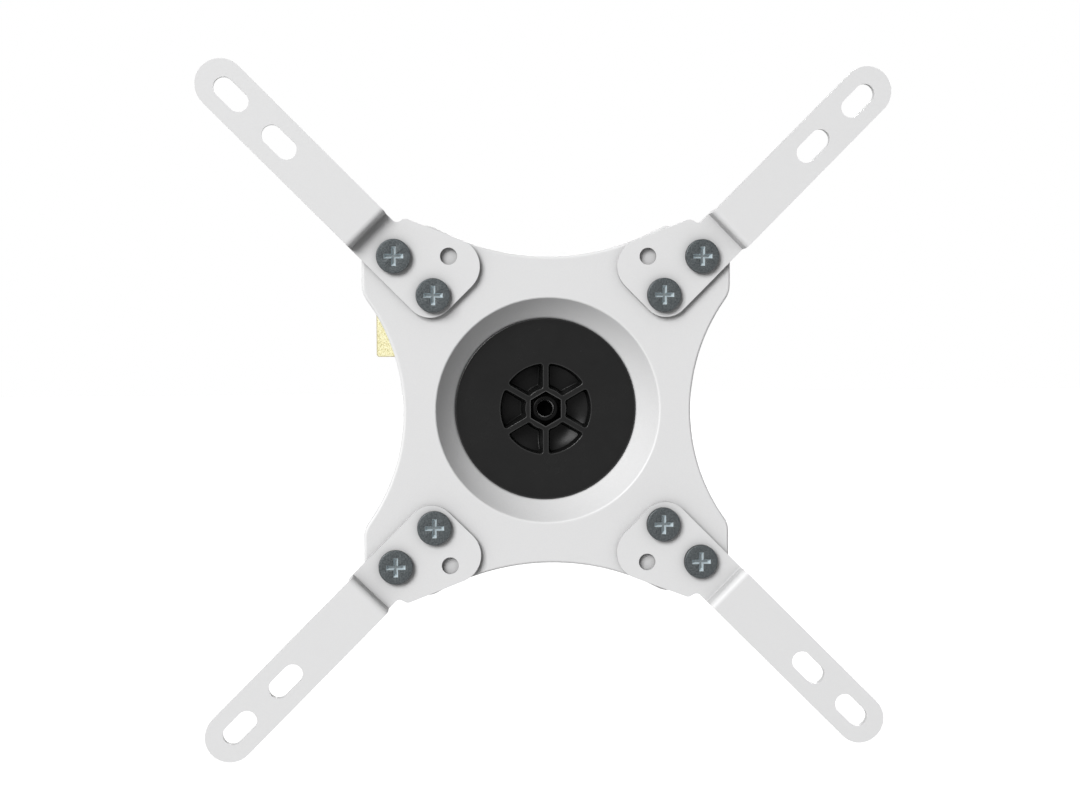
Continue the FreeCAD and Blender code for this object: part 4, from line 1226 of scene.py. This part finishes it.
@dataclass
class Studio:
    """Camera, lamps and floor."""

    plate_y: float = -204.7 * MM
    ball_z: float = -30.0 * MM
    camera_distance: float = 551.4 * MM
    camera_shift_right: float = 2.74 * MM
    camera_shift_up: float = -1.80 * MM
    tilt_deg: float = 4.03
    pan_deg: float = 6.17
    roll_deg: float = 0.54
    focal_pixels: float = 1694.7
    image_width: float = 1080.0
    sensor_mm: float = 36.0
    floor_drop: float = 0.42
    floor_size: float = 12.0
    key: Softbox = Softbox("key_lamp", (-6.07, -9.12, 5.25), 6.0, 1600.0)
    rear: Softbox = Softbox("rear_fill_lamp", (3.0, 10.0, 5.4), 4.0, 700.0)
    side: Softbox = Softbox("side_fill_lamp", (8.6, 7.4, 1.8), 3.0, 300.0)
    ambient: float = 0.05
    clip: tuple[float, float] = (0.01, 100.0)
    floor_tone: float = 0.35
    floor_roughness: float = 0.9
    floor_specular: float = 0.1
    floor_lift_near: float = 0.8
    floor_lift_far: float = 0.92
    floor_near: float = 0.6
    floor_far: float = 1.6

    def set_up(self) -> None:
        """Make the camera, the lamps, the world and the floor."""
        self.camera()
        for softbox in (self.key, self.rear, self.side):
            softbox.hang(self.target())
        self.world()
        self.floor()
        bpy.context.scene.view_settings.view_transform = "Standard"

    def target(self) -> Vector:
        """Middle of the screen plate's front face.

        Returns:
            The point.
        """
        return Vector((0.0, self.plate_y, self.ball_z))

    def camera(self) -> None:
        """Make the camera from the turn of the plate that the photo shows."""
        turn = (Matrix.Rotation(math.radians(self.roll_deg), 3, "Z")
                @ Matrix.Rotation(math.radians(self.pan_deg), 3, "Y")
                @ Matrix.Rotation(math.radians(self.tilt_deg), 3, "X"))
        to_row = Matrix(((1, 0, 0), (0, 0, -1), (0, 1, 0)))
        stand = Vector((-self.camera_shift_right, -self.camera_shift_up, self.camera_distance))
        data = bpy.data.cameras.new("photo_camera")
        data.sensor_width = self.sensor_mm
        data.lens = self.focal_pixels * self.sensor_mm / self.image_width
        data.clip_start, data.clip_end = self.clip
        camera = linked("photo_camera", data)
        back = turn.transposed()
        camera.matrix_world = (Matrix.Translation(self.target() + to_row @ (back @ stand))
                               @ (to_row @ back).to_4x4())
        bpy.context.scene.camera = camera

    @staticmethod
    def seen(sheet: NodeSheet) -> NodeSocket:
        """Mask of the rays that look at the background, straight or by way of metal or glass.

        Args:
            sheet: The node tree it goes into.

        Returns:
            The mask's socket.
        """
        path = sheet.add("ShaderNodeLightPath")
        either = sheet.worked(
            "MAXIMUM", path.outputs["Is Camera Ray"], path.outputs["Is Glossy Ray"])
        return sheet.worked("MAXIMUM", either, path.outputs["Is Transmission Ray"])

    def world(self) -> None:
        """Pale ambient light, which the camera and reflections see as plain white."""
        world = bpy.data.worlds.new("studio")
        world.use_nodes = True
        bpy.context.scene.world = world
        sheet = NodeSheet(world.node_tree)
        strength = sheet.ranged(self.seen(sheet), {"To Min": self.ambient, "To Max": 1.0})
        light = sheet.add("ShaderNodeBackground", {"Color": WHITE, "Strength": strength})
        sheet.add("ShaderNodeOutputWorld", {"Surface": light.outputs[0]})

    def floor(self) -> None:
        """Pale floor under the mount."""
        work = bmesh.new()
        bmesh.ops.create_grid(work, x_segments=1, y_segments=1, size=self.floor_size / 2)
        bmesh.ops.translate(work, verts=work.verts, vec=(0, 0, -self.floor_drop))
        floor = linked("floor", meshed("floor", work))
        material = bpy.data.materials.new("pale_floor")
        material.use_nodes = True
        sheet = NodeSheet(material.node_tree)
        spot = sheet.add("ShaderNodeTexCoord").outputs["Object"]
        away = sheet.add("ShaderNodeVectorMath", {0: spot}, operation="LENGTH")
        whiter = sheet.ranged(away.outputs["Value"], {
            "From Min": self.floor_near, "From Max": self.floor_far,
            "To Min": self.floor_lift_near, "To Max": self.floor_lift_far})
        lift = sheet.worked("MULTIPLY", whiter, self.seen(sheet))
        surface = sheet.add("ShaderNodeBsdfPrincipled", {
            "Base Color": (*[self.floor_tone] * 3, 1.0), "Roughness": self.floor_roughness,
            "Specular IOR Level": self.floor_specular, "Emission Color": WHITE,
            "Emission Strength": lift})
        sheet.add("ShaderNodeOutputMaterial", {"Surface": surface.outputs["BSDF"]})
        floor.data.materials.append(material)


def clear_start_scene() -> None:
    """Take out the objects that a new file starts with."""
    for name in ("Cube", "Light", "Camera"):
        thing = bpy.data.objects.get(name)
        if thing is not None:
            bpy.data.objects.remove(thing)


def main() -> None:
    """Build every sub-assembly in order."""
    logging.basicConfig(level=logging.INFO)
    clear_start_scene()
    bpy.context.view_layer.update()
    maker = Maker(Palette())
    ScreenSide().dress(maker)
    Head().dress(maker)
    Pivot("head", Body.HEAD, PivotBolt(
        shank_r=5.0 * MM, across=15.0 * MM, head_h=4.5 * MM, nut_h=7.0 * MM, pitch=1.5 * MM,
    )).dress(maker)
    Pivot("wall", Body.WALL, PivotBolt(
        shank_r=6.0 * MM, across=18.0 * MM, head_h=5.0 * MM, nut_h=8.0 * MM, pitch=1.75 * MM,
    )).dress(maker)
    Arm().dress(maker)
    WallSide().dress(maker)
    Studio().set_up()


if __name__ == "__main__":
    main()
